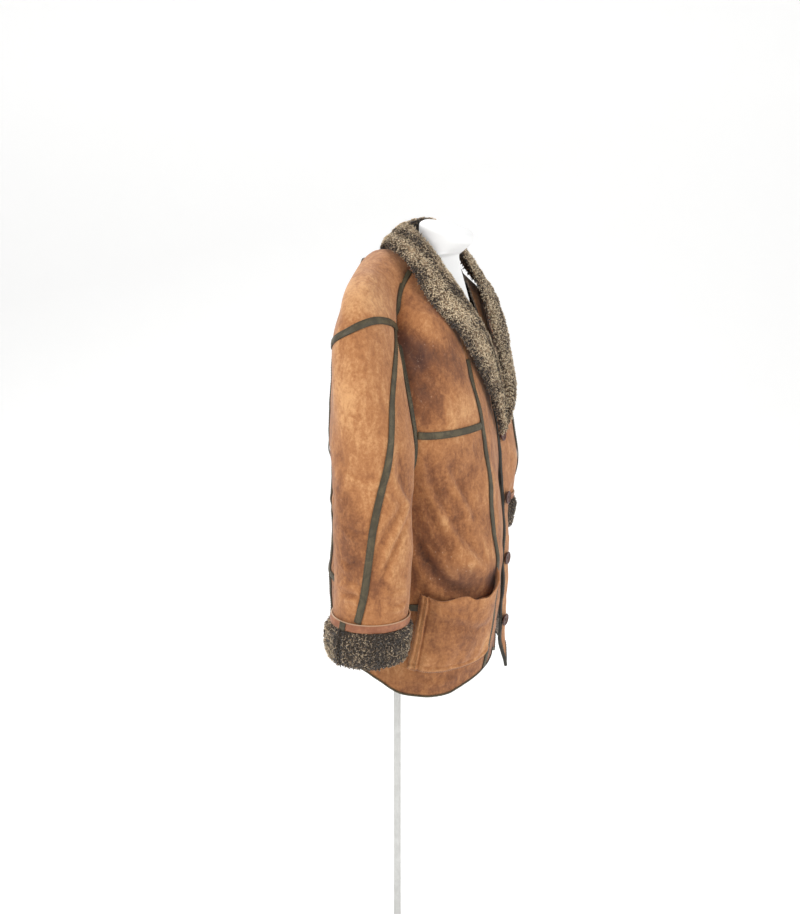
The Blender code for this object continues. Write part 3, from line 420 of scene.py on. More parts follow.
def hem_height(angle):
    """The hem's height round the body: level at the sides, rising behind and at the princess seam."""
    degrees = np.degrees(angle)
    return np.interp(degrees, [0, 12, 24, 42, 60, 80, 95, 125, 180],
                     [0.708, 0.726, 0.724, 0.712, 0.6975, 0.7030, 0.734, 0.757, 0.757])


def hip_height(angle):
    """The hip seam's height, a little higher behind."""
    return HIP_Z + 0.031 * np.clip((np.degrees(angle) - 90) / 60, 0, 1)


NECK_EDGE = np.array([
    # Z,    R,     F of the front's inner edge, under the collar
    [1.060, 0.005, 0.178],
    [1.110, 0.005, 0.173],
    [1.150, 0.010, 0.166],
    [1.200, 0.020, 0.158],
    [1.250, 0.034, 0.144],
    [1.290, 0.050, 0.127],
    [1.330, 0.066, 0.107],
    [1.372, 0.080, 0.080],
])
RAGLAN_TOP_Z = 1.372     # where both raglan seams meet the neck seam
BACK_NECK_F = -0.016     # the back's top edge at the centre
BACK_NECK_Z = 1.378

BAND_COLUMNS = 3
FRONT_COLUMNS = 8
SIDE_BACK_COLUMNS = 4
CENTRE_BACK_COLUMNS = 5


def inner_edge(height):
    """The front's inner edge: straight down the centre, and along the neck seam above the lapel."""
    point = body_surface(math.atan(EDGE_R / 0.14), height)
    if height <= NECK_EDGE[0, 0]:
        return point
    neck = np.array([*by_height(NECK_EDGE, height)[1:], height])
    part = np.clip((height - NECK_EDGE[0, 0]) / 0.05, 0, 1)
    return point + part * (neck - point)


def side_angle(height):
    """The side seam's angle, swinging back below the hip."""
    return SIDE_ANGLE + SIDE_BACK * eased((SIDE_SWING_Z - height) / SIDE_SWING_REACH)


def side_point(number):
    """The side seam's point on a row below the underarm."""
    angle = side_angle(lower_height(number, SIDE_ANGLE))
    height = float(lower_height(number, angle))
    under = sleeve_surface(float(UNDERARM), -math.pi / 2)
    part = eased((height - SIDE_SWING_Z) / (under[2] - SIDE_SWING_Z))
    return body_surface(angle, height) + part * (under - body_surface(SIDE_ANGLE, under[2]))


def pulled_row(angles, heights, first, last):
    """A body row whose two ends are pulled on to given points, each pull fading out over the panel."""
    points = body_surface(angles, heights)
    reach = np.linspace(0, 1, len(angles))[:, None]
    out_last = np.clip((reach - 0.20) / 0.80, 0, 1) ** 1.5
    out_first = np.clip((0.80 - reach) / 0.80, 0, 1) ** 1.5
    near = np.linalg.norm(last - first)
    straight = first + reach * (last - first)
    curved = points + out_first * (first - points[0]) + out_last * (last - points[-1])
    share = np.clip((near - 0.03) / 0.08, 0, 1)
    return straight + share * (curved - straight)


def polar(point):
    """The angle of a point about the middle of the coat."""
    return math.atan2(point[0], point[1] - SECTION_MID_F)


def front_angles(inner, outer, height):
    """Column angles of a front row: the band's columns, then the panel's, out to its end."""
    deep = by_height(BODY, height)[..., 2] - SECTION_MID_F
    start, stop = polar(inner), polar(outer)
    princess = math.atan(PRINCESS_R / (0.965 * deep))
    princess = min(princess, start + 0.62 * (stop - start))
    return two_spans(start, princess, stop, BAND_COLUMNS, FRONT_COLUMNS)


def back_angles(outer):
    """Column angles of a back row: the side back's columns, then the centre back's."""
    start = polar(outer)
    split = max(BACK_SEAM_ANGLE, start + 0.25 * (math.pi - start))
    return two_spans(start, split, math.pi, SIDE_BACK_COLUMNS, CENTRE_BACK_COLUMNS)


def lower_height(number, angle):
    """Height of a row between the hem and the underarm."""
    low, hip = hem_height(angle), hip_height(angle)
    under_z = sleeve_surface(float(UNDERARM), -math.pi / 2)[2]
    if number <= HIP_ROW:
        return low + (hip - low) * number / HIP_ROW
    return hip + (under_z - hip) * (number - HIP_ROW) / (BODY_ROWS - HIP_ROW)


def front_grid():
    """The right front from hem to neck, columns from the front edge to the side or raglan seam."""
    rows = []
    for number in range(BODY_ROWS):
        side = side_point(number)
        inner = inner_edge(float(lower_height(number, 0.0)))
        angles = front_angles(inner, side, side[2])
        rows.append(pulled_row(angles, lower_height(number, angles), inner, side))
    for station in front_stations[::-1]:
        outer = sleeve_surface(station, ring_end(station, True))
        inner = inner_edge(float(outer[2]))
        angles = front_angles(inner, outer, outer[2])
        droop = CHEST_DROOP * np.clip(1 - abs(outer[2] - CHEST_Z) / 0.10, 0, 1)
        heights = outer[2] - droop * np.linspace(1, 0, len(angles)) ** 0.6
        rows.append(pulled_row(angles, heights, inner_edge(float(heights[0])), outer))
    return np.array(rows)


def back_grid():
    """The right back from hem to neck, columns from the side or raglan seam to the centre back."""
    rows = []
    for number in range(BODY_ROWS):
        side = side_point(number)
        angles = back_angles(side)
        heights = lower_height(number, angles)
        centre = body_surface(math.pi, float(heights[-1]))
        rows.append(pulled_row(angles, heights, side, centre))
    for station in back_stations[::-1]:
        outer = sleeve_surface(station, ring_end(station, False))
        angles = back_angles(outer)
        part = np.clip(1 - (RAGLAN_TOP_Z - outer[2]) / 0.122, 0, 1)
        heights = outer[2] + (BACK_NECK_Z - RAGLAN_TOP_Z) * part * np.linspace(0, 1, len(angles))
        centre = body_surface(math.pi, float(heights[-1]))
        centre[1] = centre[1] + part ** 2 * (BACK_NECK_F - centre[1])
        rows.append(pulled_row(angles, heights, outer, centre))
    return np.array(rows)


SIDES = {"R": -1.0, "L": 1.0}
SHOULDER_TURN = 0.11     # how far the left shoulder is turned back, for each metre out
FRONT_SWING = 0.030      # how far the left front's lower corner swings out,
FRONT_FORWARD = 0.010    # forwards,
FRONT_DROP = 0.044       # and down
FRONT_FLATTEN = 0.30     # the left front lies this much flatter than the right, whose pocket stands out
CUFF_LIFT = 0.030        # the left hand hangs this much higher
FORWARD = np.array([0.0, 1.0, 0.0])


def hang_left(points, region):
    """How the left half hangs unlike the right: its shoulder is turned back, its front lies flatter with
    the lower corner swung out and down, and its forearm is drawn up."""
    turned = SHOULDER_TURN * eased((points[..., 2] - 0.93) / 0.17) * points[..., 0]
    moved = points - turned[..., None] * FORWARD
    if region == "form":
        return moved
    if region == "sleeve":
        part = eased((1.02 - points[..., 2]) / 0.20)
        return moved + part[..., None] * np.array([0.004, 0.0, CUFF_LIFT])
    ahead = np.maximum(points[..., 1] - SECTION_MID_F, 0)
    level = eased((1.030 - points[..., 2]) / 0.10)
    beside = eased((points[..., 0] - 0.010) / 0.085)
    moved = moved - (FRONT_FLATTEN * level * beside * ahead)[..., None] * FORWARD
    low = np.clip((0.79 - points[..., 2]) / 0.082, 0, 1.6)
    near = np.clip(1 - points[..., 0] / 0.205, 0, 1) * eased(ahead / 0.08)
    amount = low ** 2 * near ** 1.5
    return moved + amount[..., None] * np.array([FRONT_SWING, FRONT_FORWARD, -FRONT_DROP])


def hung(points, side, region):
    """Points of one side as they hang; the right half hangs as it is cut."""
    return hang_left(points, region) if side == "L" else points


def half_cut(side):
    """The front, back and sleeve of one side as coarse grids of points, hung."""
    tail_turn = two_spans(-math.pi / 2, math.pi / 2, 1.5 * math.pi, TURNS_FRONT, TURNS_BACK)
    tail = sleeve_surface(np.full(len(tail_turn), len(SLEEVE) - 1.0), tail_turn)
    sleeve = np.concatenate([sleeve_grid(), tail[None]])
    cut = {"front": front_grid(), "back": back_grid(), "sleeve": sleeve}
    return {part: hung(points, side, part) for part, points in cut.items()}


FINE = 7                # steps added between the cut's rows and columns
LAST = (len(front_stations) - 1) * FINE
UNDER = BODY_ROWS * FINE


def between_columns(grid):
    """Points added between a grid's columns along cubic curves. Each slope weighs the steps on its two
    sides by the other's length, so that uneven steps don't overshoot."""
    step = np.maximum(np.linalg.norm(np.diff(grid, axis=1), axis=2), 1e-7)[..., None]
    slope = np.diff(grid, axis=1) / step
    inner = (slope[:, 1:] * step[:, :-1] + slope[:, :-1] * step[:, 1:]) / (step[:, 1:] + step[:, :-1])
    tangent = np.concatenate([slope[:, :1], inner, slope[:, -1:]], axis=1)[:, :, None]
    step, here = step[:, :, None], grid[:, :, None]
    u = (np.arange(FINE) / FINE)[:, None]
    curve = ((1 + 2 * u) * (1 - u) ** 2 * here[:, :-1] + u * (1 - u) ** 2 * step * tangent[:, :-1]
             + u * u * (3 - 2 * u) * here[:, 1:] + u * u * (u - 1) * step * tangent[:, 1:])
    return np.concatenate([curve.reshape(len(grid), -1, 3), grid[:, -1:]], axis=1)


def refined(grid):
    """A coarse grid with points added between its rows, then between its columns."""
    rows = np.swapaxes(between_columns(np.swapaxes(grid, 0, 1)), 0, 1)
    return between_columns(rows)


def strip_of(grid, rows, from_end):
    """A grid's chosen rows, seen with the seam's column first."""
    part = grid[rows]
    return part[:, ::-1] if from_end else part


def across(points):
    """Distance along each row from its first column."""
    steps = np.linalg.norm(np.diff(points, axis=1), axis=2)
    return np.concatenate([np.zeros((len(points), 1)), np.cumsum(steps, axis=1)], axis=1)


def joined(first, second, reach=0.04):
    """Moves two strips so that their first columns meet half way, the move fading over a distance."""
    apart = (second[:, 0] - first[:, 0]) / 2
    for strip, sign in ((first, 1.0), (second, -1.0)):
        fade = eased(1 - across(strip) / reach)
        strip += sign * fade[..., None] * apart[:, None]


def seam_pairs(cut):
    """The strips that meet at the side, raglan and underarm seams."""
    front, back, sleeve = cut["front"], cut["back"], cut["sleeve"]
    up, down = slice(UNDER, None), slice(0, UNDER + 1)
    head, arm = slice(LAST, None, -1), slice(LAST, None)
    return [(strip_of(front, down, True), strip_of(back, down, False)),
            (strip_of(front, up, True), strip_of(sleeve, head, False)),
            (strip_of(back, up, False), strip_of(sleeve, head, True)),
            (strip_of(sleeve, arm, False), strip_of(sleeve, arm, True))]


def grid_normals(points):
    """Unit normals of a grid: the cross product of its slopes along columns and rows."""
    return unit(np.cross(np.gradient(points, axis=0), np.gradient(points, axis=1)))


def outward_normals(cut):
    """Unit normals of each grid, made one where pieces meet."""
    flips = {"front": 1.0, "back": 1.0, "sleeve": -1.0}
    normals = {part: flips[part] * grid_normals(points) for part, points in cut.items()}
    for strips, places in zip(seam_pairs(normals), seam_pairs(cut)):
        both = unit(strips[0][:, 0] + strips[1][:, 0])[:, None]
        for strip, place in zip(strips, places):
            fade = eased(1 - across(place) / 0.012)[..., None]
            strip[:] = unit(strip + fade * (both - strip))
    meet = (("front", UNDER, -1), ("back", UNDER, 0), ("sleeve", LAST, 0), ("sleeve", LAST, -1))
    under = unit(sum(normals[part][row, column] for part, row, column in meet))
    for part, row, column in meet:
        normals[part][row, column] = under
    normals["back"][:, -1, 0] = 0
    normals["back"] = unit(normals["back"])
    return normals


def fold_height(chart, folds):
    """Height of folds over a chart of (across, up): each is a path with a soft trough along it
    and a lower ridge beside it, deepest in the middle of its length."""
    total = np.zeros(chart.shape[:2])
    for path, width, depth, ridge in folds:
        path = smooth(path, np.linspace(0, len(path) - 1, 4 * len(path) - 3))
        nearest = np.full(chart.shape[:2], 1e9)
        beside = np.zeros(chart.shape[:2])
        along = np.zeros(chart.shape[:2])
        for number, (start, end) in enumerate(zip(path[:-1], path[1:])):
            run = end - start
            length = np.hypot(*run)
            from_start = chart - start
            part = np.clip((from_start @ run) / length ** 2, 0, 1)
            gap = from_start - part[..., None] * run
            away = np.hypot(gap[..., 0], gap[..., 1])
            sign = np.sign(run[0] * from_start[..., 1] - run[1] * from_start[..., 0])
            closer = away < nearest
            nearest = np.where(closer, away, nearest)
            beside = np.where(closer, sign * away, beside)
            along = np.where(closer, (number + part) / (len(path) - 1), along)
        fade = np.sin(math.pi * np.clip(along, 0.02, 0.98)) ** 0.7
        fade = fade * bell(np.maximum(nearest - 2.5 * width, 0), width)
        total += fade * (ridge * bell(beside - 1.5 * width, width) - depth * bell(beside, width))
    return total


RUMPLE_WAVES = 14


def rumple(chart, seed, size, height):
    """A soft uneven surface: a sum of waves of random direction and phase, about a size apart."""
    draw = np.random.default_rng(seed)
    total = np.zeros(chart.shape[:2])
    for _ in range(RUMPLE_WAVES):
        turn = draw.uniform(0, math.pi)
        length = size * draw.uniform(0.7, 1.8)
        wave = chart[..., 0] * math.cos(turn) + chart[..., 1] * math.sin(turn)
        total += np.sin(2 * math.pi * wave / length + draw.uniform(0, 6.3)) * length / size
    return total * height / RUMPLE_WAVES


CUT = {}                # the refined grids of each side's front, back and sleeve,
OUT = {}                # their outward normals,
CHART = {}              # their charts of (across, up),
HEIGHT = {"R": {}, "L": {}}  # how high the folds stand on them
WORN_AND_SHADED = {"R": {}, "L": {}}  # and how far they are rubbed pale, dirtied dark or darkened as painted shade
for side in SIDES:
    cut = {part: refined(points) for part, points in half_cut(side).items()}
    for first, second in seam_pairs(cut):
        joined(first, second)
    CUT[side] = cut
    OUT[side] = outward_normals(cut)
    CHART[side] = {part: np.stack([across(points), points[..., 2]], axis=-1)
                   for part, points in cut.items()}

# folds by side and panel: path of (across, up) in metres, half width, depth of the trough, height of the
# ridge beside it
FOLDS = {
    ("R", "front"): [
        ([(0.228, 1.111), (0.213, 1.064), (0.188, 1.005), (0.156, 0.947), (0.122, 0.907)],
         0.009, 0.0055, 0.004),
        ([(0.187, 1.091), (0.167, 1.052), (0.149, 1.019), (0.133, 0.983)], 0.007, 0.0035, 0.003),
        ([(0.206, 1.08), (0.19, 1.043), (0.171, 1.001), (0.156, 0.965)], 0.005, 0.0022, 0.0018),
        ([(0.25, 0.975), (0.231, 0.929), (0.207, 0.893), (0.16, 0.866)], 0.011, 0.007, 0.006),
        ([(0.23, 0.974), (0.208, 0.942), (0.183, 0.911), (0.151, 0.889)], 0.008, 0.0032, 0.0028),
        ([(0.223, 1.028), (0.216, 0.996), (0.201, 0.956), (0.19, 0.925)], 0.006, 0.0025, 0.002),
        ([(0.204, 0.987), (0.178, 0.992), (0.149, 1.001)], 0.004, 0.0014, 0.001),
        ([(0.225, 1.16), (0.19, 1.15), (0.155, 1.152)], 0.009, 0.0024, 0.0018),
        ([(0.15, 1.2), (0.17, 1.24), (0.165, 1.29)], 0.012, 0.0026, 0.0022),
        ([(0.245, 0.735), (0.21, 0.728), (0.17, 0.731)], 0.006, 0.0016, 0.0014),
        ([(0.02, 1.06), (0.045, 1.01), (0.06, 0.95)], 0.008, 0.0018, 0.0014),
        ([(0.075, 0.9), (0.055, 0.85), (0.05, 0.79)], 0.009, 0.002, 0.0016)],
    ("L", "front"): [
        ([(0.225, 1.1), (0.205, 1.05), (0.18, 1), (0.15, 0.955)], 0.009, 0.005, 0.0038),
        ([(0.2, 1.085), (0.18, 1.04), (0.163, 1.005)], 0.006, 0.0028, 0.0022),
        ([(0.248, 0.96), (0.225, 0.92), (0.195, 0.885), (0.15, 0.87)], 0.01, 0.005, 0.0042),
        ([(0.215, 1.01), (0.195, 0.97), (0.175, 0.93)], 0.006, 0.0024, 0.002),
        ([(0.15, 1.21), (0.165, 1.25), (0.16, 1.3)], 0.012, 0.0024, 0.002),
        ([(0.03, 0.95), (0.05, 0.9), (0.055, 0.83)], 0.009, 0.0018, 0.0014),
        ([(0.24, 0.74), (0.205, 0.73), (0.165, 0.733)], 0.006, 0.0016, 0.0014)],
    ("R", "back"): [
        ([(0.02, 1.05), (0.045, 1.005), (0.06, 0.955), (0.065, 0.9)], 0.01, 0.0045, 0.0035),
        ([(0.035, 1.12), (0.07, 1.08), (0.11, 1.055)], 0.009, 0.0032, 0.0026),
        ([(0.15, 1.18), (0.175, 1.08), (0.18, 0.98), (0.178, 0.86)], 0.012, 0.003, 0.0024),
        ([(0.09, 1), (0.13, 0.985), (0.18, 0.988)], 0.007, 0.0016, 0.0014)],
    ("L", "back"): [
        ([(0.022, 1.04), (0.05, 0.99), (0.062, 0.93)], 0.009, 0.004, 0.0032),
        ([(0.04, 1.11), (0.08, 1.075), (0.125, 1.06)], 0.01, 0.003, 0.0024),
        ([(0.145, 1.16), (0.165, 1.05), (0.168, 0.93), (0.172, 0.84)], 0.012, 0.0028, 0.0022)],
    ("R", "sleeve"): [
        ([(0.106, 1.08), (0.122, 1.045), (0.147, 1.005), (0.158, 0.955), (0.165, 0.912)],
         0.008, 0.0038, 0.003),
        ([(0.1, 1.035), (0.126, 0.991), (0.142, 0.956), (0.152, 0.915)], 0.006, 0.0053, 0.0042),
        ([(0.216, 0.965), (0.198, 0.96), (0.176, 0.972)], 0.005, 0.0034, 0.0027),
        ([(0.21, 0.908), (0.194, 0.916), (0.174, 0.908)], 0.004, 0.0042, 0.0038),
        ([(0.212, 0.93), (0.196, 0.936), (0.18, 0.931)], 0.004, 0.0027, 0.0023),
        ([(0.21, 1.022), (0.19, 1.009), (0.17, 1.017)], 0.005, 0.0029, 0.0023),
        ([(0.158, 1.104), (0.141, 1.092), (0.12, 1.096)], 0.006, 0.0023, 0.0019),
        ([(0.139, 0.933), (0.127, 0.922), (0.106, 0.92)], 0.004, 0.0034, 0.0029),
        ([(0.135, 0.905), (0.118, 0.897), (0.1, 0.899)], 0.004, 0.003, 0.0027),
        ([(0.062, 1.15), (0.07, 1.11), (0.086, 1.065), (0.1, 1.01)], 0.01, 0.0035, 0.003),
        ([(0.1, 1.3), (0.15, 1.322), (0.2, 1.318)], 0.014, 0.0014, 0.0012),
        ([(0.25, 1.1), (0.262, 1.04), (0.28, 0.98)], 0.01, 0.0036, 0.0028),
        ([(0.3, 1.06), (0.31, 1.01), (0.32, 0.95)], 0.008, 0.0028, 0.0024)],
    ("L", "sleeve"): [
        ([(0.11, 1.09), (0.13, 1.05), (0.15, 1), (0.165, 0.95)], 0.008, 0.0036, 0.003),
        ([(0.105, 1.03), (0.128, 0.99), (0.148, 0.965)], 0.006, 0.0026, 0.0022),
        ([(0.215, 0.985), (0.195, 0.99), (0.172, 0.984)], 0.005, 0.002, 0.0016),
        ([(0.205, 1.04), (0.185, 1.03), (0.16, 1.038)], 0.006, 0.0016, 0.0012),
        ([(0.066, 1.15), (0.078, 1.1), (0.095, 1.05)], 0.01, 0.0032, 0.0028),
        ([(0.255, 1.09), (0.27, 1.03), (0.285, 0.975)], 0.01, 0.0034, 0.0028)],
}
# where the cloth stands out in a broad bulge, over the pockets' mouths and low down on the left band: places
# written as the pale and dark ones are, with the bulge's height last; like the folds, the bulges also lighten
# the suede as painted highlight
BLOUSED = {
    ("R", "front"): [(0.155, 0.915, 0.05, 0.03, 0.15, 0.0085), (0.205, 0.915, 0.034, 0.024, 0.3, 0.004)],
    ("L", "front"): [(0.16, 0.915, 0.06, 0.03, 0.1, 0.004), (0.03, 0.79, 0.06, 0.06, 0, 0.006)],
}
# places rubbed pale or dirtied dark, and places of painted shade: across, up, half width, half height, how
# far it is turned, and how pale or, below 0, how dark it is
WEAR_AND_SHADE = {
    ("R", "front"): [
        # the first two places below are painted shade: the band's lower corner, which turns under, and the
        # front behind the open pocket mouth
        (0.04, 0.742, 0.05, 0.04, 0, -0.9), (0.108, 0.88, 0.018, 0.022, 0.5, -1.3),
        (0.18, 1.24, 0.036, 0.06, 0.25, -1.3), (0.105, 1.232, 0.026, 0.034, 0.5, -0.85),
        (0.14, 1.262, 0.05, 0.03, 0.3, -0.85), (0.2, 1.18, 0.03, 0.03, 0, -0.6),
        (0.08, 1.3, 0.04, 0.04, 0.8, -0.55), (0.145, 1.158, 0.05, 0.026, -0.1, 0.75),
        # the second place below, at (0.195, 0.9), is painted shade under the drag fold above the pocket
        (0.12, 1.235, 0.022, 0.06, 0.3, 0.35), (0.195, 0.9, 0.07, 0.045, 0.45, -1.05),
        (0.14, 0.89, 0.05, 0.024, 0.3, -0.4), (0.225, 0.985, 0.034, 0.08, 0.2, -0.55),
        (0.15, 0.97, 0.05, 0.07, -0.2, -0.4), (0.16, 1.07, 0.07, 0.045, 0, -0.4),
        (0.185, 1.015, 0.012, 0.06, 0.5, 0.45), (0.14, 1.02, 0.01, 0.04, 0.4, 0.35),
        (0.235, 0.77, 0.03, 0.06, 0, -0.4), (0.18, 0.722, 0.11, 0.016, 0, -0.35),
        (0.03, 0.96, 0.02, 0.08, 0, 0.25), (0.17, 1.215, 0.022, 0.014, 0, 0.45),
        (0.01, 1, 0.01, 0.2, 0, -0.15)],
    ("L", "front"): [
        (0.2, 1.23, 0.035, 0.05, 0.3, -0.7), (0.14, 1.16, 0.05, 0.03, 0, 0.6),
        # the first place below, at (0.19, 0.905), is painted shade under the drag fold above the pocket
        (0.19, 0.905, 0.07, 0.04, 0.4, -0.7), (0.225, 0.99, 0.03, 0.07, 0.2, -0.5),
        (0.16, 1.06, 0.06, 0.04, 0, -0.3), (0.06, 0.9, 0.05, 0.12, 0, 0.25)],
    ("R", "back"): [
        (0.12, 1.15, 0.09, 0.08, 0, 0.35), (0.04, 0.98, 0.03, 0.08, 0.2, -0.55),
        (0.18, 0.86, 0.08, 0.06, 0, -0.35), (0.09, 1.02, 0.05, 0.04, 0.3, -0.25)],
    ("L", "back"): [
        (0.11, 1.14, 0.08, 0.09, 0, 0.3), (0.045, 0.97, 0.03, 0.08, 0.2, -0.5),
        (0.16, 0.85, 0.09, 0.05, 0, -0.3), (0.15, 1.28, 0.05, 0.04, 0, -0.25)],
    ("R", "sleeve"): [
        (0.15, 1.05, 0.3, 0.4, 0, 0.16), (0.11, 1.345, 0.07, 0.03, 0, 0.75),
        (0.15, 1.22, 0.05, 0.07, 0, 0.5), (0.15, 1.12, 0.04, 0.06, 0, 0.1),
        (0.19, 0.96, 0.03, 0.08, 0, -0.55), (0.16, 0.93, 0.022, 0.06, 0, -0.55),
        (0.11, 1, 0.02, 0.09, 0.2, 0.3), (0.215, 1.08, 0.03, 0.11, 0, -0.7),
        (0.07, 1.08, 0.02, 0.05, 0.1, -0.55), (0.19, 0.905, 0.04, 0.015, 0, 0.35),
        (0.3, 1, 0.05, 0.12, 0, -0.5)],
    ("L", "sleeve"): [
        (0.11, 1.34, 0.07, 0.03, 0, 0.6), (0.15, 1.21, 0.05, 0.07, 0, 0.4),
        (0.18, 1, 0.03, 0.07, 0, -0.45), (0.11, 1.03, 0.02, 0.08, 0.2, 0.25),
        (0.3, 1.02, 0.05, 0.11, 0, -0.45)],
}


SOFT_SIZE, SOFT_HEIGHT = 0.070, 0.0034  # the cloth's broad unevenness
FINE_SIZE, FINE_HEIGHT = 0.022, 0.0007  # and its fine one
FOLDS_FADE = 0.025      # folds and bulges die out over this distance from a shared seam
UNDER_COLLAR = 2 * FINE  # rows and columns over which the neck edges are drawn in under the collar
BACK_NECK_MOVE = np.array([0.0, 0.0065, 0.013])
SHOULDER_NECK_MOVE = np.array([-0.020, 0.0, 0.004])


def seam_fade(part, chart):
    """0 at the seams that two grids share, rising to 1 over a distance."""
    from_first = chart[..., 0]
    from_last = from_first[:, -1:] - from_first
    fade = np.ones(chart.shape[:2])
    if part != "back":
        fade = fade * eased(from_last / FOLDS_FADE)
    if part != "front":
        fade = fade * eased(from_first / FOLDS_FADE)
    return fade


def oval_sum(chart, places):
    """The sum of soft-edged ovals over a chart, each turned by its own angle."""
    total = np.zeros(chart.shape[:2])
    for across_at, up_at, half_across, half_up, turned_by, amount in places:
        x, y = chart[..., 0] - across_at, chart[..., 1] - up_at
        u = (x * math.cos(turned_by) + y * math.sin(turned_by)) / half_across
        v = (y * math.cos(turned_by) - x * math.sin(turned_by)) / half_up
        total += amount * np.exp(-(u * u + v * v) ** 1.2)
    return total


for number, ((side, part), folds) in enumerate(FOLDS.items()):
    chart, points = CHART[side][part], CUT[side][part]
    height = fold_height(chart, folds) + rumple(chart, 5 + number, SOFT_SIZE, SOFT_HEIGHT)
    height = height + rumple(chart, 25 + number, FINE_SIZE, FINE_HEIGHT)
    height = (height + oval_sum(chart, BLOUSED.get((side, part), []))) * seam_fade(part, chart)
    HEIGHT[side][part] = height
    WORN_AND_SHADED[side][part] = oval_sum(chart, WEAR_AND_SHADE[side, part])
    points += OUT[side][part] * height[..., None]
for side in SIDES:
    # the neck edges of the back and the shoulder reach a little further, under the collar's fall
    back, sleeve = CUT[side]["back"], CUT[side]["sleeve"]
    raised = eased((np.arange(len(back)) - len(back) + 1 + UNDER_COLLAR) / UNDER_COLLAR)
    inner = eased(np.arange(back.shape[1]) / UNDER_COLLAR)
    back += (raised[:, None] * inner)[..., None] * BACK_NECK_MOVE
    raised = eased(1 - np.arange(len(sleeve)) / UNDER_COLLAR)
    inner = np.sin(np.linspace(0, math.pi, sleeve.shape[1])) ** 0.6
    sleeve += (raised[:, None] * inner)[..., None] * SHOULDER_NECK_MOVE
    OUT[side] = outward_normals(CUT[side])


def new_mesh(name, points, faces, *finishes, inner_from=None):
    """A mesh from arrays: points, and a list of arrays of quads or triangles. Faces from number inner_from
    on take the second finish."""
    mesh = bpy.data.meshes.new(name)
    points = np.ascontiguousarray(points, np.float32).reshape(-1, 3)
    mesh.vertices.add(len(points))
    mesh.vertices.foreach_set("co", points.ravel())
    corners = np.concatenate([np.asarray(f, np.int32).ravel() for f in faces])
    sizes = np.concatenate([np.full(len(f), np.shape(f)[1], np.int32) for f in faces])
    mesh.loops.add(len(corners))
    mesh.loops.foreach_set("vertex_index", corners)
    mesh.polygons.add(len(sizes))
    mesh.polygons.foreach_set("loop_start", (np.cumsum(sizes) - sizes).astype(np.int32))
    if inner_from is not None:
        mesh.polygons.foreach_set("material_index", (np.arange(len(sizes)) >= inner_from).astype(np.int32))
    for finish in finishes:
        mesh.materials.append(finish.material)
    mesh.update(calc_edges=True)
    mesh.validate()
    mesh.shade_smooth()
    return mesh


def keep_number(mesh, name, values):
    """Keeps one number at each point of a mesh, for its material."""
    kept = mesh.attributes.new(name, "FLOAT", "POINT")
    kept.data.foreach_set("value", np.asarray(values, np.float32).ravel())


def fit(name, mesh, slot, *nodes):
    """The finished piece: an object at the origin that stands for its CAD nodes and rides with the coat."""
    piece = bpy.data.objects.new(name, mesh)
    scene.collection.objects.link(piece)
    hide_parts(*nodes)
    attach(piece, "root")
    return piece


def grid_quads(rows, columns, offset=0, wrap=False):
    """Quads of a grid of points, numbered row by row, closed round its columns if asked."""
    i = np.arange(rows - 1)[:, None]
    j = np.arange(columns if wrap else columns - 1)[None, :]
    k = (j + 1) % columns
    corners = [i * columns + j, i * columns + k, (i + 1) * columns + k, (i + 1) * columns + j]
    return offset + np.stack(corners, axis=-1).reshape(-1, 4)


def border_of(rows, columns):
    """The numbers of a grid's border points, once round."""
    number = np.arange(rows * columns).reshape(rows, columns)
    return np.concatenate([number[0], number[1:, -1], number[-1, -2::-1], number[-2:0:-1, 0]])


def to_world(points, side):
    """Right-half points turned to face -Y, or mirrored for the left."""
    return np.asarray(points, float) * np.array([SIDES[side], -1.0, 1.0])


def turned_out(faces, flip):
    """Faces with their corners in the opposite order where they would face inwards."""
    return [f[:, ::-1] if flip else f for f in faces]


HIDE = 0.007            # suede and the clipped wool on its back,
HIDE_EDGE = 0.0030      # pared down at its free edges
EDGE_REACH = 0.012      # over this distance
SEAM_SINK = 0.0012      # the suede dips where it is sewn,
SEAM_REACH = 0.006      # over this distance


def hide_mesh(name, points, normals, side, flip, finishes, sewn):
    """A hide panel: the suede grid, dipping at its sewn edges, and the wool face inside, closed round its
    edges. sewn says which of the first row, last row, first column and last column are sewn; the wall is
    pared thin at the others."""
    rows, columns = points.shape[:2]
    beside = across(points)
    along = across(np.swapaxes(points, 0, 1)).T
    away = (along, along[-1:] - along, beside, beside[:, -1:] - beside)
    dip = sum(part * bell(gap, SEAM_REACH) for part, gap in zip(sewn, away))
    thin = sum((1 - part) * bell(gap, EDGE_REACH) for part, gap in zip(sewn, away))
    wall = HIDE - (HIDE - HIDE_EDGE) * np.minimum(thin, 1)
    outer = points - normals * (SEAM_SINK * np.minimum(dip, 1))[..., None]
    inner = points - normals * wall[..., None]
    ring = border_of(rows, columns)
    after = np.roll(ring, -1)
    count = rows * columns
    rim = np.stack([after, ring, ring + count, after + count], axis=1)
    faces = [grid_quads(rows, columns), grid_quads(rows, columns, count)[:, ::-1], rim]
    both = np.concatenate([outer.reshape(-1, 3), inner.reshape(-1, 3)])
    return new_mesh(name, to_world(both, side), turned_out(faces, flip), *finishes,
                    inner_from=len(faces[0]))


def cell_areas(points):
    """The area of each cell of a grid: half the length of its diagonals' cross product."""
    diagonals = points[1:, 1:] - points[:-1, :-1], points[1:, :-1] - points[:-1, 1:]
    return np.linalg.norm(np.cross(*diagonals), axis=2) / 2


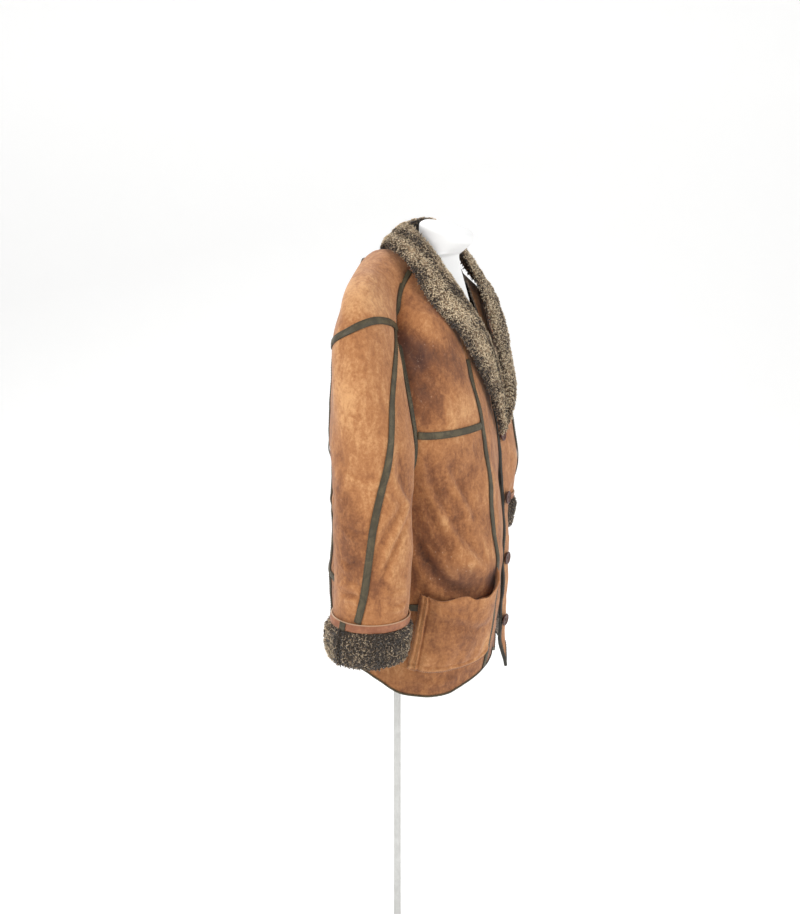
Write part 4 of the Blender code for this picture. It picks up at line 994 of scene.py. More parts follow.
suede = Paint("suede", Roughness=0.93, Sheen_Weight=0.16, Sheen_Roughness=0.5)
here = suede.place()
patches = suede.noise(here, 9.0, 5.0, 0.6, 0.7)
clouds = suede.noise(suede.place(shift=(3.1, 1.7, 0.4)), 30.0, 6.0, 0.68, 0.6)
blotches = suede.noise(suede.place(scale=(1.0, 1.0, 0.7)), 62.0, 5.0, 0.7, 0.9)
flecks = suede.noise(here, 210.0, 4.0, 0.7)
nap = suede.noise(here, 900.0, 2.0, 0.6)
brushed = suede.noise(suede.place(scale=(90.0, 90.0, 19.0)), 1.0, 5.0, 0.65)
veins = suede.cells(suede.place(shift=(0.4, 0.2, 0.9)), 55.0, "DISTANCE_TO_EDGE")
fold = suede.kept("fold")
wear_and_shade = suede.kept("wear_and_shade")
# The tone rises on the ridges of folds and bulges and falls in their troughs: painted highlight and painted
# shade. The kept pale and dark marks also hold painted shade in places.
tone = (0.50 + wear_and_shade * 0.42 + (patches - 0.5) * 0.65 + (clouds - 0.5) * 0.65 + (blotches - 0.5) * 1.00
        + (brushed - 0.5) * 0.80 + (flecks - 0.5) * 0.90 + fold * 48.0)
tan = suede.mix(tone.step(-0.50, 0.18), (0.078, 0.028, 0.012), (0.215, 0.076, 0.026))
tan = suede.mix(tone.step(0.05, 0.62), tan, (0.410, 0.168, 0.058))
tan = suede.mix(tone.step(0.50, 1.15), tan, (0.660, 0.345, 0.148))
# Where the marks are darkest the suede turns near black: dirt, and painted shade at the band's turned-under
# corner, behind the right pocket's mouth and under the right drag fold.
soiled_and_shaded = (0.0 - wear_and_shade).step(0.85, 1.50) * (0.55 + 0.45 * clouds.step(0.35, 0.65))
tan = suede.mix(soiled_and_shaded * 0.52, tan, (0.085, 0.040, 0.034))
salt = (0.0 - wear_and_shade).step(0.25, 1.1) * flecks.step(0.60, 0.74) * clouds.step(0.42, 0.60)
tan = suede.mix(salt * 0.70, tan, (0.660, 0.500, 0.390))
crazed = (0.045 - veins).step(0.0, 0.045) * blotches.step(0.45, 0.60) * 0.08
tan = suede.mix(crazed, tan, (0.640, 0.400, 0.220))
suede.set(Base_Color=suede.shade(tan, 0.86 + 0.28 * nap), Roughness=0.84 + 0.14 * clouds)
suede.bumps(nap * 0.35 + flecks * 0.6 + brushed * 0.6 + clouds * 0.9 + blotches * 0.9, 0.0016, 0.6)

fleece = Paint("fleece", Roughness=0.97, Sheen_Weight=0.3)
locks = fleece.cells(fleece.place(), 260.0)
matting = fleece.noise(fleece.place(), 60.0, 4.0, 0.7)
fleece.set(Base_Color=fleece.mix((locks * 1.1 + matting * 0.6).step(0.3, 1.1), (0.30, 0.225, 0.15),
                                 (0.075, 0.050, 0.034)))
fleece.bumps(matting - locks, 0.004, 0.9)


def fit_hide(name, points, normals, fold, tone_marks, side, flip, sewn, inside=fleece):
    """A hide panel fitted over its CAD node, with painted shade and highlight on its folds and its pale and
    dark places.
    """
    mesh = hide_mesh(name, points, normals, side, flip, (suede, inside), sewn)
    keep_number(mesh, "fold", np.tile(fold.ravel(), 2))
    keep_number(mesh, "wear_and_shade", np.tile(tone_marks.ravel(), 2))
    piece = fit(f"{name}_suede", mesh, "suede", name)
    float(cell_areas(points).sum())


def cut_panel(name, side, part, rows, columns, sewn):
    """A panel that is a block of rows and columns of one grid."""
    points, normals, fold, tone_marks = (grids[side][part][rows, columns] for grids in (CUT, OUT, HEIGHT, WORN_AND_SHADED))
    fit_hide(name, points, normals, fold, tone_marks, side, (side == "R") != (part == "sleeve"), sewn)


# the fine rows and columns at which the panels meet
princess, back_seam = FINE * BAND_COLUMNS, FINE * SIDE_BACK_COLUMNS
hip, chest = FINE * HIP_ROW, FINE * (BODY_ROWS + CHEST_ROWS)
for side in SIDES:
    cut_panel(f"front_band_{side}", side, "front", slice(None), slice(0, princess + 1), (0, 1, 0, 1))
    for name, low, high in (("lower", 0, hip + 1), ("middle", hip, chest + 1), ("upper", chest, None)):
        cut_panel(f"front_{name}_{side}", side, "front", slice(low, high), slice(princess, None),
                  (low > 0, 1, 1, 1))
    for name, low, high in (("lower", 0, hip + 1), ("upper", hip, None)):
        cut_panel(f"back_side_{name}_{side}", side, "back", slice(low, high), slice(0, back_seam + 1),
                  (low > 0, 1, 1, 1))

mirror = np.array([-1.0, 1.0, 1.0])


def whole_back(grids, flip=1.0):
    """The centre back in one width: the right half's columns, then the left half's turned over."""
    right, left = grids["R"]["back"][:, back_seam:], grids["L"]["back"][:, back_seam:-1]
    return np.concatenate([right, (left * flip)[:, ::-1]], axis=1)


middle, middle_out = whole_back(CUT, mirror), whole_back(OUT, mirror)
middle_fold, middle_wear_and_shade = whole_back(HEIGHT), whole_back(WORN_AND_SHADED)
for name, low, high in (("lower", 0, hip + 1), ("upper", hip, None)):
    fit_hide(f"back_centre_{name}", middle[low:high], middle_out[low:high], middle_fold[low:high],
             middle_wear_and_shade[low:high], "R", True, (low > 0, 1, 1, 1))

# ---- sleeves and shoulders ----
# A raglan shoulder piece runs from the neck over to the cap seam; below it the sleeve is cut as a front
# and a back piece, joined along the arm and under it, down into the cuff.
cap, arm_seam = SHOULDER_ROWS * FINE, TURNS_FRONT * FINE
for side in SIDES:
    cut_panel(f"shoulder_{side}", side, "sleeve", slice(0, cap + 1), slice(None), (1, 1, 1, 1))
    cut_panel(f"sleeve_front_{side}", side, "sleeve", slice(cap, None), slice(0, arm_seam + 1), (1, 0, 1, 1))
    cut_panel(f"sleeve_back_{side}", side, "sleeve", slice(cap, None), slice(arm_seam, None), (1, 0, 1, 1))

# ---- tapes ----
# Strips of olive leather, a little over a centimetre wide and slightly crowned, are laid along every seam
# and stitched down near both edges; ends run under the tape they meet.
TAPE_WIDTH = 0.0115
TAPE_WALL = 0.0014
CROSSING = TAPE_WIDTH / 2 + 0.0006  # a tape stops here before the seam it meets
HEM_CLEAR = 0.0022
RAGLAN_END = 0.006      # and so far before the neck, the raglan seams and the cuff
CAP_END = 0.004
ARM_END = 0.0012
PRINCESS_TOP_Z = 1.235
POCKET_BACK = 5.8       # panel columns from the princess seam to the pocket's back edge
TUCK = 0.0045           # how deep the front raglan tape lies in the sleeve's fold,
TUCKED = (1.258, 1.318)  # between these heights,
TUCK_FADE = 0.012       # and the distance over which it comes out again

olive = Paint("tape_leather", Roughness=0.55, Coat_Weight=0.05, Coat_Roughness=0.5)
along = olive.kept("along")
athwart = olive.kept("athwart")
grain = olive.noise(olive.place(), 300.0, 4.0, 0.65)
scuffs = olive.noise(olive.place(), 45.0, 5.0, 0.7, 1.0)
ribs = (along * (2 * math.pi / 0.0021)).wave()
edge = (athwart * athwart).step(0.55, 1.0)
skin = olive.mix(scuffs.step(0.38, 0.70), (0.050, 0.038, 0.017), (0.110, 0.086, 0.041))
skin = olive.mix(edge * 0.65, skin, (0.036, 0.026, 0.014))
skin = olive.mix(grain.step(0.60, 0.85) * 0.5, skin, (0.220, 0.185, 0.120))
olive.set(Base_Color=skin, Roughness=0.46 + 0.24 * grain)
olive.bumps(grain * 0.5 + ribs * 0.12 + scuffs * 0.6, 0.0008, 0.7)
thread = Paint("thread", Base_Color=(0.060, 0.050, 0.030), Roughness=0.6)

STITCH = 0.0042         # from one stitch to the next
STITCH_LONG = 0.0027
STITCH_THICK = 0.0005
STITCH_RINGS, STITCH_SIDES = 3, 4


def run_of(line):
    """Distance along a line of points from its first."""
    return across(line[None])[0]


def read_line(values, run, steps):
    """Points or vectors along a run, read at the given distances."""
    return np.stack([np.interp(steps, run, values[:, k]) for k in range(3)], axis=-1)


def tube_faces(rows, columns, offset=0):
    """Faces of a grid closed round its columns, with its first and last rows capped."""
    first = offset + np.arange(columns)[None]
    return [grid_quads(rows, columns, offset, wrap=True), first[:, ::-1], first + (rows - 1) * columns]


def stitches(path, normals, pitch=STITCH, long=STITCH_LONG):
    """Separate stitches along a path: each a short bent bar, highest in its middle, in three rings of four
    points. Returns points and quads."""
    run = run_of(path)
    starts = np.arange(pitch, run[-1] - pitch, pitch)
    part = np.linspace(0, 1, STITCH_RINGS)
    at = starts[:, None] + part[None, :] * long
    line, up = read_line(path, run, at), unit(read_line(normals, run, at))
    forward = unit(np.gradient(line, axis=1))
    sideways = unit(np.cross(forward, up))
    lift = (STITCH_THICK * 1.3 * np.sin(math.pi * part) - STITCH_THICK * 0.4)[None, :, None]
    size = (STITCH_THICK / 2 * np.array([0.65, 1.1, 0.65]))[None, :, None]
    points = np.stack([line + up * lift + size * (sideways * math.cos(t) + up * math.sin(t))
                       for t in np.arange(STITCH_SIDES) * 2 * math.pi / STITCH_SIDES], axis=2)
    bar = np.concatenate(tube_faces(STITCH_RINGS, STITCH_SIDES))
    quads = bar[None] + (np.arange(len(starts)) * STITCH_RINGS * STITCH_SIDES)[:, None, None]
    return points.reshape(-1, 3), quads.reshape(-1, 4)


def sewn_strip(name, sections, along, athwart, seams, side, flip, leather):
    """A leather strip from its closed sections, with stitches along its seams, each a path and its normals.
    Every point of the strip keeps how far along and across it lies."""
    rows, columns = sections.shape[:2]
    strip = turned_out(tube_faces(rows, columns), flip)
    points, sewn, total = [sections.reshape(-1, 3)], [], rows * columns
    for path, normals in seams:
        bars, quads = stitches(path, normals)
        points.append(bars)
        sewn.append(quads + total)
        total += len(bars)
    mesh = new_mesh(name, to_world(np.concatenate(points), side), strip + turned_out(sewn, side == "R"),
                    leather, thread, inner_from=sum(len(f) for f in strip))
    spare = total - rows * columns
    keep_number(mesh, "along", np.pad(np.repeat(along, columns), (0, spare)))
    keep_number(mesh, "athwart", np.pad(np.tile(athwart, rows), (0, spare)))
    return mesh


PROFILE = np.array([  # a tape's section: across in half widths, rise in wall thicknesses
    [-1.00, 0.00], [-1.00, 0.45], [-0.93, 0.72], [-0.72, 0.80], [-0.62, 0.86], [-0.30, 1.10], [0.00, 1.18],
    [0.30, 1.10], [0.62, 0.86], [0.72, 0.80], [0.93, 0.72], [1.00, 0.45], [1.00, 0.00], [0.00, 0.00]])
SEWN_AT = 0.76          # the stitch lines, in half widths,
SEWN_RISE = 0.86        # and in wall thicknesses
TAPE_LAY = 0.0004       # how high a tape lies over the suede
TAPE_STEP = 0.004


def tape_frame(seam, first_side, second_side, normals):
    """For each point of a seam: the directions into both panels and their own upward normals, and the
    middle one lengthened so that the tape keeps its thickness in a fold."""
    forward = unit(np.gradient(seam, axis=0))
    arms, ups = [], []
    for beside in (first_side, second_side):
        arm = beside - seam
        arm = unit(arm - forward * np.sum(arm * forward, axis=-1, keepdims=True))
        up = unit(np.cross(forward, arm))
        up = up * np.where(np.sum(up * normals, axis=-1, keepdims=True) < 0, -1.0, 1.0)
        arms.append(arm)
        ups.append(up)
    middle = unit(ups[0] + ups[1])
    middle = middle / np.clip(np.sum(middle * ups[0], axis=-1, keepdims=True), 0.5, 1.0)
    return arms, ups, middle


def tape_mesh(name, seam, first_side, second_side, normals, side, start=0.0, end=0.0, tucked=None):
    """A crowned strip along a seam, with a row of stitches near each edge. Each half of the section leans
    with its own panel; the height over the seam follows the section's profile. tucked gives the heights
    between which the tape sinks into a fold."""
    run = run_of(seam)
    steps = np.linspace(start, run[-1] - end, max(int((run[-1] - start - end) / TAPE_STEP), 4))
    seam, first_side, second_side, normals = (read_line(v, run, steps)
                                              for v in (seam, first_side, second_side, normals))
    normals = unit(normals)
    arms, ups, middle = tape_frame(seam, first_side, second_side, normals)
    if tucked:
        seam = seam - normals * (TUCK * eased((seam[:, 2:] - tucked[0]) / TUCK_FADE)
                                 * eased((tucked[1] - seam[:, 2:]) / TUCK_FADE))

    def at(share, rise):
        """The point that lies a share of the half width out, and so high above the suede."""
        half = 0 if share < 0 else 1
        up = middle + abs(share) * (ups[half] - middle)
        return seam + arms[half] * abs(share) * TAPE_WIDTH / 2 + up * (TAPE_LAY + rise * TAPE_WALL)

    sections = np.stack([at(share, rise) for share, rise in PROFILE], axis=1)
    outward = np.sum(np.cross(sections[1, 0] - sections[0, 0], sections[0, 1] - sections[0, 0])
                     * -arms[0][0])
    flip = (outward < 0) != (side == "L")
    seams = [(at(-SEWN_AT, SEWN_RISE), ups[0]), (at(SEWN_AT, SEWN_RISE), ups[1])]
    return sewn_strip(name, sections, steps, PROFILE[:, 0], seams, side, flip, olive)


def lay_tape(name, seam, side, *ends, **tuck):
    """A tape fitted over its CAD node; seam holds its line, the lines beside it and its normals."""
    fit(f"{name}_strip", tape_mesh(name, *seam, side, *ends, **tuck), "tape_leather", name)


def down_column(side, part, rows, column):
    """The seam down a grid's column, with the columns on its two sides and its normals."""
    grid = CUT[side][part]
    return grid[rows, column], grid[rows, column - 1], grid[rows, column + 1], OUT[side][part][rows, column]


def along_row(grid, normals, row, columns):
    """The seam along a grid's row, with the rows on its two sides and its normals."""
    return grid[row, columns], grid[row - 1, columns], grid[row + 1, columns], normals[row, columns]


for side in SIDES:
    front, back, sleeve = (CUT[side][part] for part in ("front", "back", "sleeve"))
    front_n, back_n, sleeve_n = (OUT[side][part] for part in ("front", "back", "sleeve"))
    top = int(np.searchsorted(front[:, princess, 2], PRINCESS_TOP_Z))
    behind_pocket = int(princess + POCKET_BACK * FINE)
    arm = slice(cap, (len(front_stations) - 1 + LOWER_ROWS) * FINE + 1)
    lay_tape(f"tape_princess_{side}", down_column(side, "front", slice(top), princess), side, HEM_CLEAR)
    lay_tape(f"tape_chest_{side}", along_row(front, front_n, chest, slice(princess, None)), side,
             CROSSING, CROSSING)
    lay_tape(f"tape_hip_front_{side}", along_row(front, front_n, hip, slice(behind_pocket, None)), side,
             0.0, CROSSING)
    lay_tape(f"tape_hip_side_{side}", along_row(back, back_n, hip, slice(back_seam + 1)), side,
             CROSSING, CROSSING)
    lay_tape(f"tape_back_{side}", down_column(side, "back", slice(-FINE), back_seam), side, HEM_CLEAR)
    lay_tape(f"tape_side_{side}", (front[:UNDER, -1], front[:UNDER, -2], back[:UNDER, 1],
                                   front_n[:UNDER, -1]), side, HEM_CLEAR)
    lay_tape(f"tape_raglan_front_{side}", (front[UNDER:, -1], front[UNDER:, -3], sleeve[LAST::-1, 3],
                                           front_n[UNDER:, -1]), side, 0.0, RAGLAN_END, tucked=TUCKED)
    lay_tape(f"tape_raglan_back_{side}", (back[UNDER:, 0], back[UNDER:, 2], sleeve[LAST::-1, -3],
                                          back_n[UNDER:, 0]), side, 0.0, RAGLAN_END)
    lay_tape(f"tape_cap_{side}", along_row(sleeve, sleeve_n, cap, slice(None)), side, CAP_END, CAP_END)
    lay_tape(f"tape_sleeve_{side}", down_column(side, "sleeve", arm, arm_seam), side, CROSSING, ARM_END)
lay_tape("tape_hip_centre", along_row(middle, middle_out, hip, slice(None)), "R", CROSSING, CROSSING)

# ---- pockets ----
# Patch pockets of the same hide are sewn on at their front edge, bottom and side, with a doubled strip down
# the side; the mouth sags open on the right, where the front blouses over it.
POCKET_FRONT = (BAND_COLUMNS + 0.32) * FINE
POCKET_SIDE = (BAND_COLUMNS + POCKET_BACK) * FINE
POCKET_WALL = 0.005
POCKET_GAPE = {"R": 1.0, "L": 0.15}
POCKET = np.array([
    # share from front to side, bottom Z, top Z, how far the mouth gapes
    [0.00, 0.752, 0.898, 0.000],
    [0.10, 0.744, 0.881, 0.009],
    [0.22, 0.742, 0.867, 0.013],
    [0.35, 0.741, 0.8625, 0.013],
    [0.50, 0.741, 0.8655, 0.011],
    [0.75, 0.742, 0.871, 0.008],
    [1.00, 0.750, 0.878, 0.000],
])
POCKET_ROWS, POCKET_COLUMNS = 60, 96
POCKET_STITCH, POCKET_STITCH_LONG = 0.0036, 0.0024
STRIP_SEAM = 0.925      # where the side strip's stitches run, as a share of the pocket's width
POCKET_WEAR_AND_SHADE = [  # as the pale and dark places, over shares of the pocket's width and height; the dark line at 0.9 is painted shade in the groove beside the side strip
    (0.5, 0.045, 0.6, 0.025, 0, 0.35), (0.9, 0.5, 0.01, 0.6, 0, -0.6),
    (0.45, 0.6, 0.3, 0.35, 0, -0.6), (0.1, 0.3, 0.1, 0.3, 0, 0.4),
    (0.75, 0.15, 0.2, 0.12, 0, 0.3), (0.955, 0.5, 0.03, 0.5, 0, 0.45),
    (0.85, 0.5, 0.05, 0.4, 0, -0.3), (0.35, 0.12, 0.2, 0.1, 0, 0.25)]


def at_grid(grid, row, column):
    """Values of a grid read at fractional rows and columns, straight between its points."""
    i = np.clip(row.astype(int), 0, grid.shape[0] - 2)
    j = np.clip(column.astype(int), 0, grid.shape[1] - 2)
    v = (row - i)[..., None]
    u = (column - j)[..., None]
    low = grid[i, j] * (1 - u) + grid[i, j + 1] * u
    high = grid[i + 1, j] * (1 - u) + grid[i + 1, j + 1] * u
    return low * (1 - v) + high * v


def row_at(grid, heights, columns):
    """The fractional row at which columns of a grid reach given heights: the column's own heights are
    read between the two nearest whole columns."""
    rows = np.arange(len(grid), dtype=float)
    found = np.empty_like(heights)
    for j in range(heights.shape[1]):
        line = at_grid(grid, rows, np.full(len(rows), columns[0, j]))[:, 2]
        found[:, j] = np.interp(heights[:, j], line, rows)
    return found


def pocket_stand(up, share, gape, side):
    """How far the pocket stands off the front: its belly, its open mouth, the thick side strip, the piped
    lower edge."""
    belly = np.sin(math.pi * share) ** 0.9 * 0.004 * np.sin(math.pi * np.clip(up * 0.8, 0, 1))
    strip = 0.0028 * eased((share - 0.905) / 0.010) * eased((0.985 - share) / 0.008)
    groove = -0.0016 * bell(share - 0.948, 0.006) - 0.0022 * bell(share - 0.898, 0.008)
    piped = 0.0014 * bell(up - 0.045, 0.014) - 0.0012 * bell(up - 0.085, 0.014)
    edges = -0.0016 * (bell(share, 0.018) + bell(1 - share, 0.012) + bell(up, 0.020))
    ripple = 0.0012 * np.sin(share * 31 + up * 4) * bell(up - 0.16, 0.12)
    crease = (-0.0026 * bell(up - 0.46 - 0.30 * share, 0.06)
              + 0.0018 * bell(up - 0.58 - 0.30 * share, 0.07)) * np.sin(math.pi * share)
    return (POCKET_WALL + 0.0012 + belly + strip + groove + piped + edges + ripple + crease
            + POCKET_GAPE[side] * gape * up ** 2.2)


for side in SIDES:
    front, front_n = CUT[side]["front"], OUT[side]["front"]
    share = np.linspace(0, 1, POCKET_COLUMNS)[None, :]
    up = np.linspace(0, 1, POCKET_ROWS)[:, None]
    table = smooth(POCKET, np.interp(share[0], POCKET[:, 0], np.arange(len(POCKET))))
    low, high, gape = table[:, 1], table[:, 2], np.maximum(table[:, 3], 0)
    heights = low + (high - low) * up
    columns = np.broadcast_to(POCKET_FRONT + (POCKET_SIDE - POCKET_FRONT) * share, heights.shape)
    rows = row_at(front, heights, columns)
    lies_on, out = at_grid(front, rows, columns), unit(at_grid(front_n, rows, columns))
    stand = pocket_stand(up, share, gape, side)
    points = lies_on + out * stand[..., None]
    tone_marks = oval_sum(np.stack(np.broadcast_arrays(share, up), axis=-1), POCKET_WEAR_AND_SHADE)
    # The pocket's colour is lighter where it stands further out and darker in its grooves and creases:
    # painted highlight and painted shade.
    fit_hide(f"pocket_{side}", points, out * (POCKET_WALL / HIDE), (stand - stand.mean(axis=0)) * 0.25, tone_marks,
             side, side == "R", (1, 0, 1, 1), inside=suede)
    pocket_n = grid_normals(points)
    lines = [np.s_[:, column] for column in (1, int(STRIP_SEAM * POCKET_COLUMNS), POCKET_COLUMNS - 2)]
    lines.append(np.s_[1, 2:-2])
    sewn = [stitches(points[line], pocket_n[line], POCKET_STITCH, POCKET_STITCH_LONG) for line in lines]
    bars = np.concatenate([points for points, _ in sewn])
    offsets = np.cumsum([0] + [len(points) for points, _ in sewn])
    quads = turned_out([q + k for (_, q), k in zip(sewn, offsets)], side == "R")
    mesh = new_mesh(f"pocket_stitching_{side}", to_world(bars, side), quads, thread)
    fit(f"pocket_{side}_stitching", mesh, "tape_leather", f"pocket_{side}")

# ---- front and hem bindings ----
# The hide's raw edges are closed with a strip of leather, folded over them and stitched through: near black
# and rubbed down the fronts, where its darkness also paints the shade in the gap between them, and the tapes'
# olive leather round the hem.
edging = Paint("edging_leather", Roughness=0.5)
rubbed = edging.noise(edging.place(), 60.0, 5.0, 0.7)
# The near-black end of this colour paints the shade in the gap between the two fronts.
edging.set(Base_Color=edging.mix(rubbed.step(0.45, 0.80), (0.016, 0.013, 0.008), (0.085, 0.068, 0.040)),
           Roughness=0.45 + 0.25 * rubbed)
edging.bumps(rubbed, 0.0006, 0.7)

BINDING_WALL = 0.0009
BINDING_PLAY = 0.0008    # how much wider than the pared edge the fold is
BINDING_SEWN_IN = 0.0022
BINDING_STEPS = 9
FRONT_FOLD = (0.0025, 0.0022)  # how far the strip's two arms reach in, and its fold stands out
HEM_FOLD = (0.0015, 0.0008)


def binding_mesh(name, line, inward, outward, side, flip, fold, leather):
    """A folded strip round an edge: a flattened U, with a wall, carried along the edge's line."""
    half = (HIDE_EDGE + BINDING_PLAY) / 2
    reach_in, reach_out = fold
    around = np.linspace(-math.pi / 2, math.pi / 2, BINDING_STEPS)
    fold_over = [(math.cos(t) * reach_out, math.sin(t)) for t in around]
    bow = np.array([(-reach_in, -1.0), *fold_over, (-reach_in, 1.0)])
    shell = np.concatenate([bow, bow[::-1]])
    wall = np.repeat([BINDING_WALL, 0.0], len(bow))
    level = shell[:, 1] * (half + wall)
    reach = shell[:, 0] + np.where(shell[:, 0] > 0, wall, 0)
    middle = line - outward * (HIDE_EDGE / 2)
    sections = (middle[:, None] + outward[:, None] * level[None, :, None]
                - inward[:, None] * reach[None, :, None])
    seam = middle + outward * (half + BINDING_WALL) + inward * BINDING_SEWN_IN
    return sewn_strip(name, sections, run_of(line), shell[:, 1] * 0.4, [(seam, outward)], side, flip, leather)


hem = []
for side in SIDES:
    front, back = CUT[side]["front"], CUT[side]["back"]
    line, outward = front[:chest + 1, 0], OUT[side]["front"][:chest + 1, 0]
    mesh = binding_mesh(f"binding_front_{side}", line, unit(front[:chest + 1, 2] - line), outward, side,
                        side == "R", FRONT_FOLD, edging)
    fit(f"binding_front_{side}_strip", mesh, "tape_leather", f"binding_front_{side}")
    low = np.concatenate([front[0, :-1], back[0]])
    inward = unit(np.concatenate([front[2, :-1], back[2]]) - low)
    outward = np.concatenate([OUT[side]["front"][0, :-1], OUT[side]["back"][0]])
    hem.append([values if side == "R" else (values[:-1] * mirror)[::-1] for values in (low, inward, outward)])
hem = [np.concatenate(halves) for halves in zip(*hem)]
mesh = binding_mesh("binding_hem", *hem, "R", False, HEM_FOLD, olive)
fit("binding_hem_strip", mesh, "tape_leather", "binding_hem")

# ---- collar ----
# The shawl collar is the same sheepskin turned wool side out: two halves joined at the centre back, each
# a thick strip of dense curly wool, dark at the roots and pale at the tips, rolled back over the fronts.
WOOL_INSET = 0.0045      # the skin and matted wool lie this far inside the reach of the curls
TUFT_RINGS = 3
TUFT_SIDES = 3
ROOT_SINK = 0.001        # the curls' roots lie this far inside the matted wool
SKIN_SHADE = 0.10

fur = Paint("curly_wool", Roughness=0.9, Sheen_Weight=0.25, Sheen_Roughness=0.5)
shade = fur.kept("shade")
lock = fur.kept("lock")
band = fur.kept("band")
mottle = fur.noise(fur.place(), 85.0, 4.0, 0.7, 0.6)
broad = fur.noise(fur.place(), 22.0, 3.0, 0.6)
# band adds the painted highlight and painted shade laid on the collar and cuffs to the wool's tone.
tone = shade * (0.55 + 0.85 * lock) + (mottle - 0.5) * 1.3 + (broad - 0.5) * 1.0 + band
coat = fur.mix(tone.step(0.00, 0.50), (0.038, 0.025, 0.015), (0.285, 0.190, 0.108))
coat = fur.mix(tone.step(0.35, 1.00), coat, (0.860, 0.690, 0.460))
fur.set(Base_Color=coat)
fur.bumps(mottle, 0.003, 0.6)


def tufts(points, normals, lean, length, width, seed):
    """Curls of wool: each a bent tapering three-sided tube of three rings and a tip. It rises from its root
    along the normal, leans over more and more towards its tip, and sways to one side as a sine. Returns
    points, triangles, quads, the shade from root to tip and a random number for each curl."""
    draw = np.random.default_rng(seed)
    count = len(points)
    turn = draw.uniform(0, 2 * math.pi, count)
    first = unit(np.cross(normals, normals[:, [1, 2, 0]] + 0.1))
    second = np.cross(normals, first)
    random = first * np.cos(turn)[:, None] + second * np.sin(turn)[:, None]
    over = unit(lean - normals * np.sum(lean * normals, axis=1, keepdims=True) + 0.9 * random)
    beside = np.cross(normals, over)
    long = length * draw.uniform(0.65, 1.25, count)[:, None]
    sway = draw.uniform(-0.30, 0.30, count)[:, None]
    part = np.arange(TUFT_RINGS + 1) / TUFT_RINGS
    rings = []
    for step in part:
        middle = (points + normals * long * (0.85 * step - 0.30 * step ** 2)
                  + over * long * 0.75 * step ** 1.7 + beside * long * sway * math.sin(3.6 * step))
        if step == 1.0:
            rings.append(middle[:, None])
            continue
        reach = width / 2 * (1.0 - 0.55 * step) * draw.uniform(0.8, 1.2, count)[:, None]
        rings.append(np.stack([middle + reach * (beside * math.cos(t) + (over + normals) * 0.5 * math.sin(t))
                               for t in np.arange(TUFT_SIDES) * 2 * math.pi / TUFT_SIDES], axis=1))
    body = np.concatenate(rings, axis=1)
    size = TUFT_RINGS * TUFT_SIDES + 1
    first_number = (np.arange(count) * size)[:, None, None]
    quads = (grid_quads(TUFT_RINGS, TUFT_SIDES, wrap=True)[None] + first_number).reshape(-1, 4)
    last = (TUFT_RINGS - 1) * TUFT_SIDES
    tip = np.array([[last + k, last + (k + 1) % TUFT_SIDES, size - 1] for k in range(TUFT_SIDES)])
    triangles = (tip[None] + first_number).reshape(-1, 3)
    grown = np.concatenate([np.repeat(part[:-1], TUFT_SIDES), [1.0]])
    return (body.reshape(-1, 3), triangles, quads, np.tile(grown, count),
            np.repeat(draw.uniform(0, 1, count), size))


def scattered(grid, count, seed, weight):
    """Places spread over a grid's cells in proportion to their weighed area: fractional rows and columns."""
    draw = np.random.default_rng(seed)
    area = cell_areas(grid) * weight
    chance = np.cumsum(area.ravel()) / area.sum()
    cell = np.searchsorted(chance, (np.arange(count) + draw.uniform(0, 1, count)) / count)
    cell = np.clip(cell, 0, area.size - 1)
    return (cell // area.shape[1] + draw.uniform(0, 1, count),
            cell % area.shape[1] + draw.uniform(0, 1, count))


def wool_mesh(name, skin, normals, lean, count, length, width, seed, side, capped, weight, band):
    """A closed skin of matted wool and the curls on it, in one mesh. The skin's sections close round
    their columns; its ends are capped, or joined to each other in a ring. band makes places paler or darker
    and holds painted highlight and painted shade."""
    rows, columns = skin.shape[:2]
    total = rows * columns
    grids = [np.concatenate([v, v[:, :1]], axis=1) for v in (skin, normals, lean)]
    faces = tube_faces(rows, columns)
    if not capped:
        grids = [np.concatenate([v, v[:1]]) for v in grids]
        last = np.arange(total - columns, total)
        after = np.roll(last, -1)
        faces = [faces[0], np.stack([last, after, after + columns - total, last + columns - total], axis=1)]
    row, column = scattered(grids[0], count, seed, weight)
    roots, out = at_grid(grids[0], row, column), unit(at_grid(grids[1], row, column))
    leans = at_grid(grids[2], row, column)
    roots = roots - out * ROOT_SINK
    curls, triangles, quads, grown, lock_of = tufts(roots, out, leans, length, width, seed + 1)
    faces = turned_out(faces + [quads + total, triangles + total], side == "R")
    mesh = new_mesh(name, to_world(np.concatenate([skin.reshape(-1, 3), curls]), side), faces, fur)
    tint = np.broadcast_to(band, (rows, columns))
    of_curls = at_grid(np.pad(tint, ((0, 1), (0, 1)), mode="wrap")[..., None], row, column)[:, 0]
    of_skin = np.random.default_rng(seed + 2).uniform(0.2, 0.6, total)
    keep_number(mesh, "band", np.concatenate([tint.ravel(), np.repeat(of_curls, len(curls) // count)]))
    keep_number(mesh, "shade", np.concatenate([np.full(total, SKIN_SHADE), grown]))
    keep_number(mesh, "lock", np.concatenate([of_skin, lock_of]))
    return mesh


